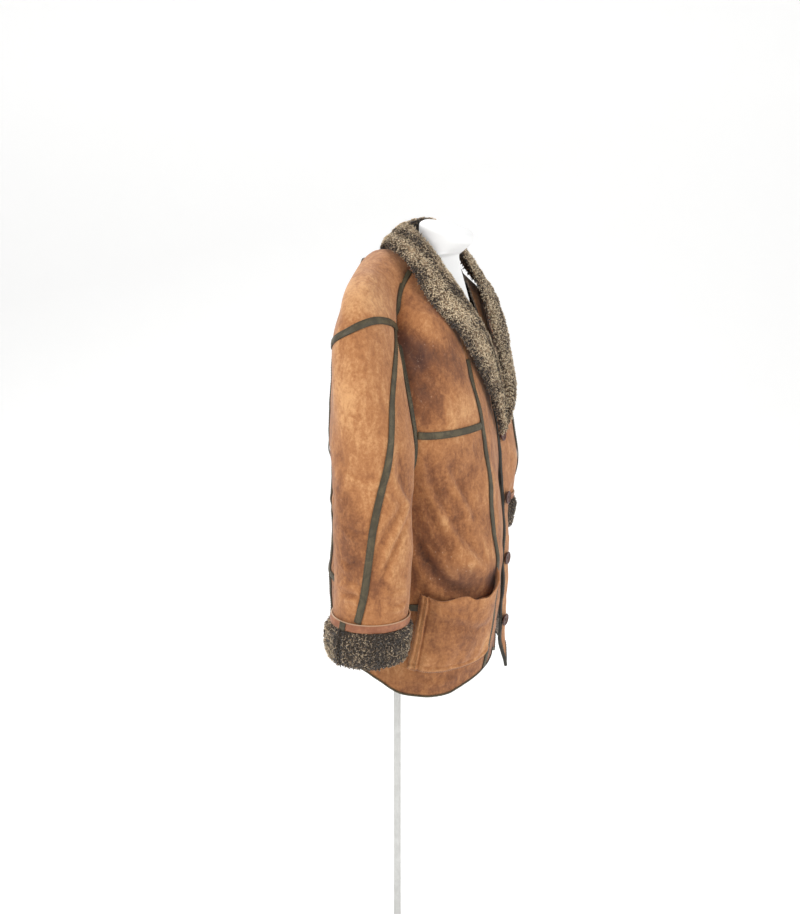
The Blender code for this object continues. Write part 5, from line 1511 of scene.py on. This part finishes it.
COLLAR = np.array([
    # roll R, F,     Z,     edge R, F,      Z,     thick, camber
    [0.000, 0.026, 1.434, 0.000, -0.018, 1.383, 0.014, 0.005],
    [0.030, 0.032, 1.436, 0.048, -0.010, 1.388, 0.014, 0.005],
    [0.051, 0.050, 1.432, 0.091,  0.012, 1.402, 0.015, 0.005],
    [0.061, 0.071, 1.417, 0.114,  0.045, 1.393, 0.016, 0.007],
    [0.064, 0.091, 1.394, 0.125,  0.072, 1.370, 0.017, 0.009],
    [0.060, 0.112, 1.363, 0.131,  0.094, 1.337, 0.018, 0.012],
    [0.051, 0.132, 1.326, 0.130,  0.123, 1.305, 0.019, 0.014],
    [0.038, 0.150, 1.288, 0.118,  0.143, 1.281, 0.020, 0.014],
    [0.024, 0.164, 1.250, 0.100,  0.160, 1.246, 0.020, 0.014],
    [0.013, 0.175, 1.203, 0.078,  0.173, 1.203, 0.019, 0.013],
    [0.008, 0.182, 1.152, 0.052,  0.184, 1.158, 0.018, 0.011],
    [0.006, 0.185, 1.112, 0.028,  0.188, 1.118, 0.015, 0.007],
    [0.006, 0.185, 1.092, 0.016,  0.187, 1.094, 0.010, 0.004],
])
COLLAR_CAMBER = {"R": 1.0, "L": 0.8}
COLLAR_SEAT = {"R": 0.0018, "L": 0.0010}
COLLAR_STEPS = 121
COLLAR_SECTION = 21
COLLAR_TOP_COLUMN = 6    # a column of the skin's upper side
COLLAR_CURLS = 7600
COLLAR_CURL = (0.0062, 0.0034)  # length and width
COLLAR_UNDER_CURLS = 0.35  # how much thinner the curls stand on the underside
CENTRE_GAP = 0.0012      # between each half and the centre line
LEFT_FORWARD = 0.006     # how far the left half stands forward near its lower end


def collar_skin(side):
    """The collar's matted skin inside its reach: lens sections from the centre back down, with a soft
    lengthwise hollow, the way the wool leans on each, and the painted highlight and shade on the wool."""
    rows = smooth(COLLAR, np.linspace(0, len(COLLAR) - 1, COLLAR_STEPS))
    roll, edge, thick, camber = rows[:, 0:3], rows[:, 3:6], rows[:, 6], rows[:, 7]
    down = unit(np.gradient((roll + edge) / 2, axis=0))
    broad = edge - roll
    up = unit(np.cross(broad, down))
    width = np.linalg.norm(broad, axis=1, keepdims=True)
    inset = np.minimum(WOOL_INSET, width * 0.28)
    broad_unit = broad / width
    roll, broad = roll + broad_unit * inset, broad_unit * (width - 2 * inset)
    share = (1 - np.cos(np.linspace(0, math.pi, COLLAR_SECTION + 2))) / 2
    body = np.sqrt(np.clip(1 - (2 * share - 1) ** 2, 0, 1)) ** 0.7
    run = np.linspace(0, 1, COLLAR_STEPS)[:, None]
    hollow = 0.0036 * bell(share - 0.47 - 0.06 * np.sin(run * 9), 0.10) * eased(run / 0.15)
    lumps = 0.0012 * np.sin(run * 75 + share * 6) * np.sin(run * 31 + 2) * body
    thick = np.maximum(thick[:, None] - 2 * WOOL_INSET, 0.002)
    middle = roll[:, None] + broad[:, None] * share[None, :, None]
    rise = COLLAR_CAMBER[side] * camber[:, None] * 4 * share * (1 - share)
    top = middle + up[:, None] * (rise + thick / 2 * body - hollow * body + lumps)[..., None]
    under = middle + up[:, None] * (rise - thick / 2 * body)[..., None]
    skin = np.concatenate([top, under[:, -2:0:-1]], axis=1)
    if side == "L":
        skin = hang_left(skin, "collar")
        skin[:, :, 1] += LEFT_FORWARD * bell(run - 0.84, 0.09)
    skin[:, :, 1] -= COLLAR_SEAT[side]
    skin[0, :, 0] = CENTRE_GAP
    round_it = np.roll(skin, -1, axis=1) - np.roll(skin, 1, axis=1)
    normals = unit(np.cross(round_it, np.gradient(skin, axis=0)))
    facing = np.sign(np.sum(normals[:, COLLAR_TOP_COLUMN] * up, axis=1))[:, None, None]
    lean = np.broadcast_to((0.55 * down + 0.5 * broad_unit)[:, None], skin.shape)
    # Paler along the ridge beside the hollow and along the roll, darker in the hollow and at the outer edge,
    # darker still on the underside, with an uneven wave: painted highlight and painted shade.
    roll_light_and_shade = (0.05 + 0.26 * bell(share - 0.70 - 0.03 * np.sin(run * 14), 0.10)
              + 0.12 * bell(share - 0.12, 0.10) - 0.30 * bell(share - 0.40, 0.07)
              - 0.50 * bell(share - 1.0, 0.07) + 0.10 * np.sin(run * 33 + share * 5))
    band = np.concatenate([roll_light_and_shade, np.full((COLLAR_STEPS, COLLAR_SECTION), -0.45)], axis=1)
    return skin, normals * facing, lean, band


for number, side in enumerate(SIDES):
    skin, normals, lean, band = collar_skin(side)
    seen = np.where(np.arange(skin.shape[1]) < COLLAR_SECTION + 2, 1.0, COLLAR_UNDER_CURLS)
    mesh = wool_mesh(f"collar_{side}", skin, normals, lean, COLLAR_CURLS, *COLLAR_CURL, 40 + number, side,
                     True, seen, band)
    fit(f"collar_{side}_wool", mesh, "wool", f"collar_{side}")

# ---- cuffs ----
# The sleeve's end is turned back wool side out. A band of brown leather closes its upper edge, with the
# pale edge of the skin showing above it; an olive tape covers the join of the band.
CUFF_TOP_Z = 0.8714
CUFF_JOIN_Z = 0.858      # where the band meets the wool
CUFF_BOTTOM_Z = 0.796
CUFF_BAND = 0.014
CUFF_LENGTH = CUFF_JOIN_Z - CUFF_BOTTOM_Z
CUFF_WOOL = 0.013
CUFF_INNER = 0.0014
CUFF_TURNS = 144
CUFF_SECTION = 40
CUFF_TAB_TURN = math.radians(112)
CUFF_CURLS = 4100
CUFF_CURL = (0.0064, 0.0032)  # length and width
CUFF_TOP_COLUMN = 12     # a column of the skin's outer side
CUFF_UNDER_CURLS = 0.25  # how much thinner the curls stand inside
CUFF_BAND_FACE = 0.0040  # how far out the tab lies at the band's lower edge,
CUFF_BAND_LEAN = 0.0008  # and how much less at its upper one
SLEEVE_END_Z = SLEEVE[-1, 2] - 0.0020

band_skin = Paint("band_leather", Roughness=0.5, Coat_Weight=0.08, Coat_Roughness=0.4)
level_on_band = band_skin.kept("athwart")
tone_marks = band_skin.noise(band_skin.place(), 70.0, 5.0, 0.7)
pores = band_skin.noise(band_skin.place(), 520.0, 3.0, 0.6)
red = band_skin.mix(tone_marks.step(0.35, 0.75), (0.250, 0.085, 0.036), (0.440, 0.180, 0.082))
red = band_skin.mix(level_on_band.step(0.88, 0.97), red, (0.520, 0.350, 0.220))
band_skin.set(Base_Color=red, Roughness=0.42 + 0.2 * pores)
band_skin.bumps(pores * 0.5 + tone_marks, 0.0006, 0.8)


def full_turn(steps):
    """Even angles once round, without the last."""
    return np.linspace(0, 2 * math.pi, steps, endpoint=False)


def cuff_ring(offset, height, turn):
    """A level ring round the sleeve's end, the given distance outside it."""
    heights = SLEEVE[CUFF_ROW:, 2][::-1]
    station = len(SLEEVE) - 1 - np.interp(height, heights, np.arange(len(heights)))
    ring = sleeve_surface(np.full(len(turn), station), turn)
    flat = ring - smooth(SLEEVE, station)[:3]
    flat[:, 2] = 0
    ring = ring + unit(flat) * offset
    ring[:, 2] = height
    return ring


def cuff_grid(profile, side, turn):
    """Rings of a profile of (distance out, height), as a grid with one row for each turn."""
    return hung(np.stack([cuff_ring(out, z, turn) for out, z in profile], axis=1), side, "sleeve")


def ring_mesh(name, grid, side, finish):
    """A closed ring of closed sections."""
    rows, columns = grid.shape[:2]
    looped = np.concatenate([np.arange(rows * columns), np.arange(columns)])
    faces = looped[grid_quads(rows + 1, columns, wrap=True)]
    return new_mesh(name, to_world(grid.reshape(-1, 3), side), turned_out([faces], side == "L"), finish)


def cuff_band_profile():
    """The band's section as (distance out, height): the skin's pale edge on top, then the leather's face."""
    top, low = CUFF_TOP_Z, CUFF_JOIN_Z
    return [(0.0, top), (0.0012, top + 0.0003), (0.0023, top - 0.0002), (0.0028, top - 0.0014),
            (0.0024, top - 0.0023), (0.0029, top - 0.0032), (0.0032, top - 0.0060),
            (0.0036, low + 0.0030), (0.0034, low + 0.0012), (0.0028, low + 0.0004), (0.0, low + 0.0004)]


def cuff_wool_profile():
    """The turned-back wool's section as (distance out, height), read at even steps: out over the sleeve's
    end, full in the middle, and up again inside it."""
    top, bottom = CUFF_JOIN_Z - 0.001, CUFF_BOTTOM_Z
    corners = np.array([(0.0, top), (0.55 * CUFF_WOOL, top), (0.95 * CUFF_WOOL, top - 0.008),
                        (CUFF_WOOL, bottom + 0.5 * CUFF_LENGTH), (0.85 * CUFF_WOOL, bottom + 0.011),
                        (0.45 * CUFF_WOOL, bottom + 0.003), (0.0, bottom + 0.003),
                        (-0.0036, bottom + 0.006), (-0.0036, SLEEVE_END_Z), (0.0, SLEEVE_END_Z)])
    run = np.concatenate([[0], np.cumsum(np.hypot(*np.diff(corners, axis=0).T))])
    even = np.linspace(0, run[-1], CUFF_SECTION)
    return np.stack([np.interp(even, run, corners[:, k]) for k in (0, 1)], axis=1)


def cuff_skin(side, profile, turn, seam, phase):
    """The cuff's matted skin: rings of the wool's section inside its reach, drawn in along the seam under
    the tab and a little beside it, and uneven by two sines round the cuff."""
    outs = profile[:, 0]
    inset = np.where(outs > 0.35 * CUFF_WOOL, WOOL_INSET, np.where(outs > 0.001, 0.0025, 0.0))
    dent = 0.0045 * seam + 0.0022 * bell(turn - CUFF_TAB_TURN + 0.42, 0.16)
    wavy = 0.0012 * np.sin(turn * 7 + phase) + 0.0008 * np.sin(turn * 13 + 1)
    columns = []
    for (out, z), sink in zip(profile, inset):
        outside = 1.0 if out > 0.2 * CUFF_WOOL else 0.0
        ring = cuff_ring(CUFF_INNER + out - sink, z, turn)
        away = ring - cuff_ring(CUFF_INNER - 0.010, z, turn)
        away[:, 2] = 0
        ring += unit(away) * (outside * (wavy - dent))[:, None]
        ring[:, 2] += outside * (0.0035 * seam * eased((CUFF_JOIN_Z - 0.03 - z) / 0.03))
        columns.append(ring)
    return hung(np.stack(columns, axis=1), side, "sleeve")


turn = full_turn(CUFF_TURNS)
seam = bell(turn - CUFF_TAB_TURN + 0.03, 0.045)
for number, side in enumerate(SIDES):
    profile = cuff_band_profile()
    grid = cuff_grid([(CUFF_INNER + out, z) for out, z in profile], side, turn)
    mesh = ring_mesh(f"cuff_band_{side}", grid, side, band_skin)
    keep_number(mesh, "athwart", np.tile([(z - CUFF_JOIN_Z) / CUFF_BAND for _, z in profile], CUFF_TURNS))
    fit(f"cuff_band_{side}_leather", mesh, "band_leather", f"cuff_band_{side}")

    profile = cuff_wool_profile()
    grid = cuff_skin(side, profile, turn, seam, number)
    around = np.roll(grid, -1, axis=0) - np.roll(grid, 1, axis=0)
    normals = unit(np.cross(around, np.roll(grid, -1, axis=1) - np.roll(grid, 1, axis=1)))
    centre = grid.mean(axis=(0, 1))
    if np.sum(normals[:, CUFF_TOP_COLUMN] * (grid[:, CUFF_TOP_COLUMN] - centre)) < 0:
        normals = -normals
    lean = np.broadcast_to(np.array([0.0, 0.0, -0.6]), grid.shape)
    seen = np.where(profile[:, 0] > 0.001, 1.0, CUFF_UNDER_CURLS)
    # Darker overall and paler over the turns behind the tab; the wool is darkened in the dent along the seam
    # under the tab, which is painted shade.
    paler = (-0.38 + 0.40 * eased((turn - CUFF_TAB_TURN) / 0.25) * eased((CUFF_TAB_TURN + 1.1 - turn) / 0.4)
             - 0.45 * seam + 0.12 * np.sin(turn * 5))
    mesh = wool_mesh(f"cuff_wool_{side}", grid, normals, lean, CUFF_CURLS, *CUFF_CURL, 60 + number, side,
                     False, seen, paler[:, None])
    fit(f"cuff_wool_{side}_curls", mesh, "wool", f"cuff_wool_{side}")

    spans = np.linspace(-1.5, 1.5, 4) * 0.5 * TAPE_WIDTH / SLEEVE[CUFF_ROW, 6]
    levels = np.linspace(CUFF_TOP_Z, CUFF_JOIN_Z + 0.001, 6)
    faces_at = CUFF_INNER + CUFF_BAND_FACE - CUFF_BAND_LEAN * (levels - CUFF_JOIN_Z) / CUFF_BAND
    lines = np.stack([cuff_ring(out, z, CUFF_TAB_TURN + spans) for out, z in zip(faces_at, levels)])
    lines = hung(lines, side, "sleeve")
    middle_line = (lines[:, 1] + lines[:, 2]) / 2
    out = unit((middle_line - centre) * np.array([1.0, 1.0, 0.0]))
    lay_tape(f"tape_cuff_{side}", (middle_line, lines[:, 0], lines[:, 3], out), side)

# ---- buttons ----
# Four round buttons of dark reddish horn, turned with a raised rim and a dished middle, are sewn through
# four holes on the left front's edge, on a short thread shank.
BUTTONS = ((1.085, 0.0008), (0.977, 0.0015), (0.869, 0.0010), (0.761, 0.0014))  # Z, length of the shank
BUTTON_R = 0.0185        # from the centre line
BUTTON_COLUMN = 4.0      # the band's column on which its height is read
BUTTON_RADIUS = 0.011
BUTTON_TURNS = 48
THREAD_OFF = 0.0011      # each bar of thread lies so far off the middle,
THREAD_HALF = 0.0022     # is so long to each side,
THREAD_RADIUS = 0.00045  # and so thick
THREAD_SIDES = 6
THREAD_RINGS = 9
SHANK_SIDES = 12
SHANK_RINGS = 7
SHANK_RADIUS = 0.0016
SHANK_WIND = 0.00025
BUTTON = np.array([
    # share of the radius, height
    [0.60, 0.0012], [0.88, 0.0015], [0.96, 0.0020], [1.00, 0.0028], [0.985, 0.0036], [0.94, 0.0043],
    [0.88, 0.0046], [0.80, 0.0045], [0.73, 0.0040], [0.66, 0.0035], [0.50, 0.0032], [0.30, 0.0031]])

horn = Paint("button_horn", Roughness=0.4, Coat_Weight=0.15, Coat_Roughness=0.2)
streaks = horn.noise(horn.place(scale=(1.0, 1.0, 2.6), turn=(0.4, 0.2, 0.9)), 190.0, 4.0, 0.6, 2.0)
cloud = horn.noise(horn.place(), 320.0, 3.0)
horn.set(Base_Color=horn.mix((streaks * 0.7 + cloud * 0.3).step(0.34, 0.68), (0.030, 0.007, 0.005),
                             (0.135, 0.040, 0.022)), Roughness=0.36 + 0.18 * cloud)
horn.bumps(streaks, 0.0002, 0.5)


def turned_piece(rings):
    """Points and faces of a turned piece: rings from the bottom up, each end closed on its ring's middle."""
    rows, turns = rings.shape[:2]
    near, last = np.arange(turns), (rows - 1) * turns
    after = np.roll(near, -1)
    bottom = np.stack([after, near, np.full(turns, rows * turns)], axis=1)
    top = np.stack([near + last, after + last, np.full(turns, rows * turns + 1)], axis=1)
    ends = np.array([rings[0].mean(axis=0), rings[-1].mean(axis=0)])
    return np.concatenate([rings.reshape(-1, 3), ends]), [grid_quads(rows, turns, wrap=True), bottom, top]


def circles(middle, right, above, out, turns, radii, levels):
    """Rings about an axis, each with its radius and its level along the axis."""
    turn = full_turn(turns)
    circle = right * np.cos(turn)[:, None] + above * np.sin(turn)[:, None]
    return middle + circle * radii[:, None, None] + out * levels[:, None, None]


def button_mesh(number, spot, out, shank):
    """A turned button with two bars of thread over its holes and a wound shank under it."""
    right = unit(np.cross(out, [0.0, 0.0, 1.0]))
    above = np.cross(right, out)
    body, faces = turned_piece(circles(spot, right, above, out, BUTTON_TURNS, BUTTON[:, 0] * BUTTON_RADIUS,
                                       shank + BUTTON[:, 1]))
    share = np.linspace(-1, 1, THREAD_RINGS)[:, None]
    lift = shank + BUTTON[-1, 1] + 0.0004 - 0.0007 * np.abs(share) ** 6
    tubes = []
    for sign in (-1, 1):
        line = spot + share * right * THREAD_HALF + above * sign * THREAD_OFF + out * lift
        tubes.append(np.stack([line + THREAD_RADIUS * (above * math.cos(t) + out * math.sin(t))
                               for t in np.arange(THREAD_SIDES) * 2 * math.pi / THREAD_SIDES], axis=1))
    tubes.append(circles(spot, right, above, out, SHANK_SIDES,
                         SHANK_RADIUS + SHANK_WIND * (np.arange(SHANK_RINGS) % 2),
                         np.linspace(-0.0006, shank + 0.0014, SHANK_RINGS)))
    points, sewn, total = [body], [], len(body)
    for tube in tubes:
        sewn += tube_faces(*tube.shape[:2], total)
        points.append(tube.reshape(-1, 3))
        total += len(points[-1])
    return new_mesh(f"button_{number}", to_world(np.concatenate(points), "L"), faces + sewn, horn, thread,
                    inner_from=sum(len(f) for f in faces))


left, left_out = CUT["L"]["front"], OUT["L"]["front"]
for number, (height, shank) in enumerate(BUTTONS, start=1):
    row = row_at(left, np.array([[height]]), np.array([[BUTTON_COLUMN]]))
    line, beside = (at_grid(left, row, np.array([[column]]))[0, 0] for column in (0.0, float(FINE)))
    column = np.array([[FINE * (BUTTON_R - line[0]) / (beside[0] - line[0])]])
    spot, out = at_grid(left, row, column)[0, 0], unit(at_grid(left_out, row, column)[0, 0])
    fit(f"button_{number}_horn", button_mesh(number, spot, out, shank), "button_horn", f"button_{number}")

# ---- dress form ----
# A limbless torso and neck, moulded smooth in one piece with a matt white finish, its cap sloping
# forwards and its hip end closed flat where the pole enters.
FORM = np.array([
    # Z,     mid_F, half_R, front, back,  power
    [0.780,  0.045, 0.145,  0.090, 0.090, 2.3],
    [0.800,  0.045, 0.155,  0.098, 0.098, 2.3],
    [0.860,  0.045, 0.160,  0.102, 0.102, 2.3],
    [0.930,  0.045, 0.150,  0.096, 0.096, 2.3],
    [1.010,  0.047, 0.134,  0.088, 0.086, 2.3],
    [1.090,  0.047, 0.142,  0.096, 0.092, 2.3],
    [1.170,  0.045, 0.152,  0.100, 0.094, 2.2],
    [1.230,  0.042, 0.156,  0.100, 0.086, 2.0],
    [1.280,  0.034, 0.150,  0.098, 0.060, 1.55],
    [1.320,  0.022, 0.142,  0.100, 0.036, 1.25],
    [1.3600, 0.014, 0.130,  0.096, 0.020, 1.02],
    [1.3828, 0.018, 0.108,  0.088, 0.016, 1.05],
    [1.3920, 0.072, 0.050,  0.042, 0.040, 2.2],
    [1.400,  0.080, 0.046,  0.041, 0.041, 2.3],
    [1.412,  0.086, 0.045,  0.044, 0.044, 2.3],
])
FORM_BACK_POWER = 2.3
FORM_TURNS = 128
FORM_STEPS = 6           # rings from one tabled ring to the next
NECK_Z = 1.384           # from here up the rings lean,
NECK_FADE = 0.03         # over this distance,
CAP_SLOPE = 0.22         # by this slope
CAP_HEIGHT = 0.015
CROWN = 0.005            # the cap's edge is rounded over this height,
CROWN_IN = 0.10          # by this share of its radius

cover = Paint("form_cover", Roughness=0.62, Coat_Weight=0.05, Coat_Roughness=0.5)
speck = cover.noise(cover.place(), 420.0, 3.0, 0.6)
handled = cover.noise(cover.place(), 9.0, 4.0, 0.6)
cover.set(Base_Color=cover.mix(handled.step(0.35, 0.75), (0.90, 0.90, 0.895), (0.93, 0.93, 0.925)),
          Roughness=0.56 + 0.12 * speck)
cover.bumps(speck, 0.0002, 0.4)

turn = full_turn(FORM_TURNS)
forward = np.cos(turn) > 0
neck_top = FORM[-1, 0]
levels = [np.linspace(low, high, FORM_STEPS, endpoint=False) for low, high in zip(FORM[:-1, 0], FORM[1:, 0])]
levels = np.concatenate([*levels, [neck_top], neck_top + np.linspace(0.002, CAP_HEIGHT, 9)])
mid_f, half_r, front_f, back_f, power = (
    np.interp(np.minimum(levels, neck_top), FORM[:, 0], FORM[:, k])[:, None] for k in range(1, 6))
levels = levels[:, None]
crown = np.clip((levels - neck_top - CAP_HEIGHT + CROWN) / CROWN, 0, 1)
radius = (1 - CROWN_IN * crown ** 2) * polar_radius(turn, half_r, np.where(forward, front_f, back_f),
                                                    np.where(forward, power, FORM_BACK_POWER))
fore = radius * np.cos(turn)
lean_part = np.clip((levels - NECK_Z) / NECK_FADE, 0, 1)
rings = np.stack([radius * np.sin(turn), mid_f + fore, levels - CAP_SLOPE * lean_part * fore], axis=-1)
turned = hang_left(rings * mirror, "form") * mirror
rings = np.where(rings[..., :1] < 0, turned, rings)
for _ in range(2):       # soften the steps between the tabled rings
    rings[1:-1] = (rings[:-2] + 2 * rings[1:-1] + rings[2:]) / 4
points, faces = turned_piece(rings)
mesh = new_mesh("form", to_world(points, "R"), turned_out(faces, True), cover)
fit("form_body", mesh, "form_cover", "form")

# ---- stand ----
# A straight steel pole painted pale grey rises from a round steel plate with a turned foot and ends
# under the form.
POLE_RADIUS = 0.0065
BASE_RADIUS = 0.175
BASE_THICK = 0.012
STAND_TURNS = 96
STAND = np.array([
    # radius, Z
    [BASE_RADIUS - 0.0015, 0.0], [BASE_RADIUS, 0.0012], [BASE_RADIUS, BASE_THICK - 0.0035],
    [BASE_RADIUS - 0.0010, BASE_THICK - 0.0012], [BASE_RADIUS - 0.0035, BASE_THICK],
    [0.060, BASE_THICK + 0.0008], [0.0245, BASE_THICK + 0.0014], [0.0240, BASE_THICK + 0.0030],
    [0.0200, BASE_THICK + 0.0060], [0.0150, BASE_THICK + 0.0160], [0.0138, BASE_THICK + 0.0290],
    [0.0128, BASE_THICK + 0.0325], [POLE_RADIUS, BASE_THICK + 0.0340], [POLE_RADIUS, 0.30],
    [POLE_RADIUS, 0.55], [POLE_RADIUS, 0.7797]])

paint = Paint("stand_paint", Metallic=0.0, Roughness=0.35, Coat_Weight=0.3, Coat_Roughness=0.2)
chips = paint.noise(paint.place(), 60.0, 5.0, 0.7)
peel = paint.noise(paint.place(), 700.0, 2.0)
paint.set(Base_Color=paint.mix(chips.step(0.35, 0.75), (0.52, 0.52, 0.50), (0.62, 0.62, 0.60)),
          Roughness=0.30 + 0.14 * chips)
paint.bumps(peel, 0.0002, 0.3)

turn = full_turn(STAND_TURNS)
circle = np.stack([np.sin(turn), np.cos(turn), np.zeros(STAND_TURNS)], axis=1)
points, faces = turned_piece(STAND[:, :1, None] * circle + STAND[:, 1:, None] * np.array([0.0, 0.0, 1.0]))
mesh = new_mesh("stand", to_world(points, "R"), turned_out(faces, True), paint)
fit("stand_pole_and_base", mesh, "stand_paint", "stand")
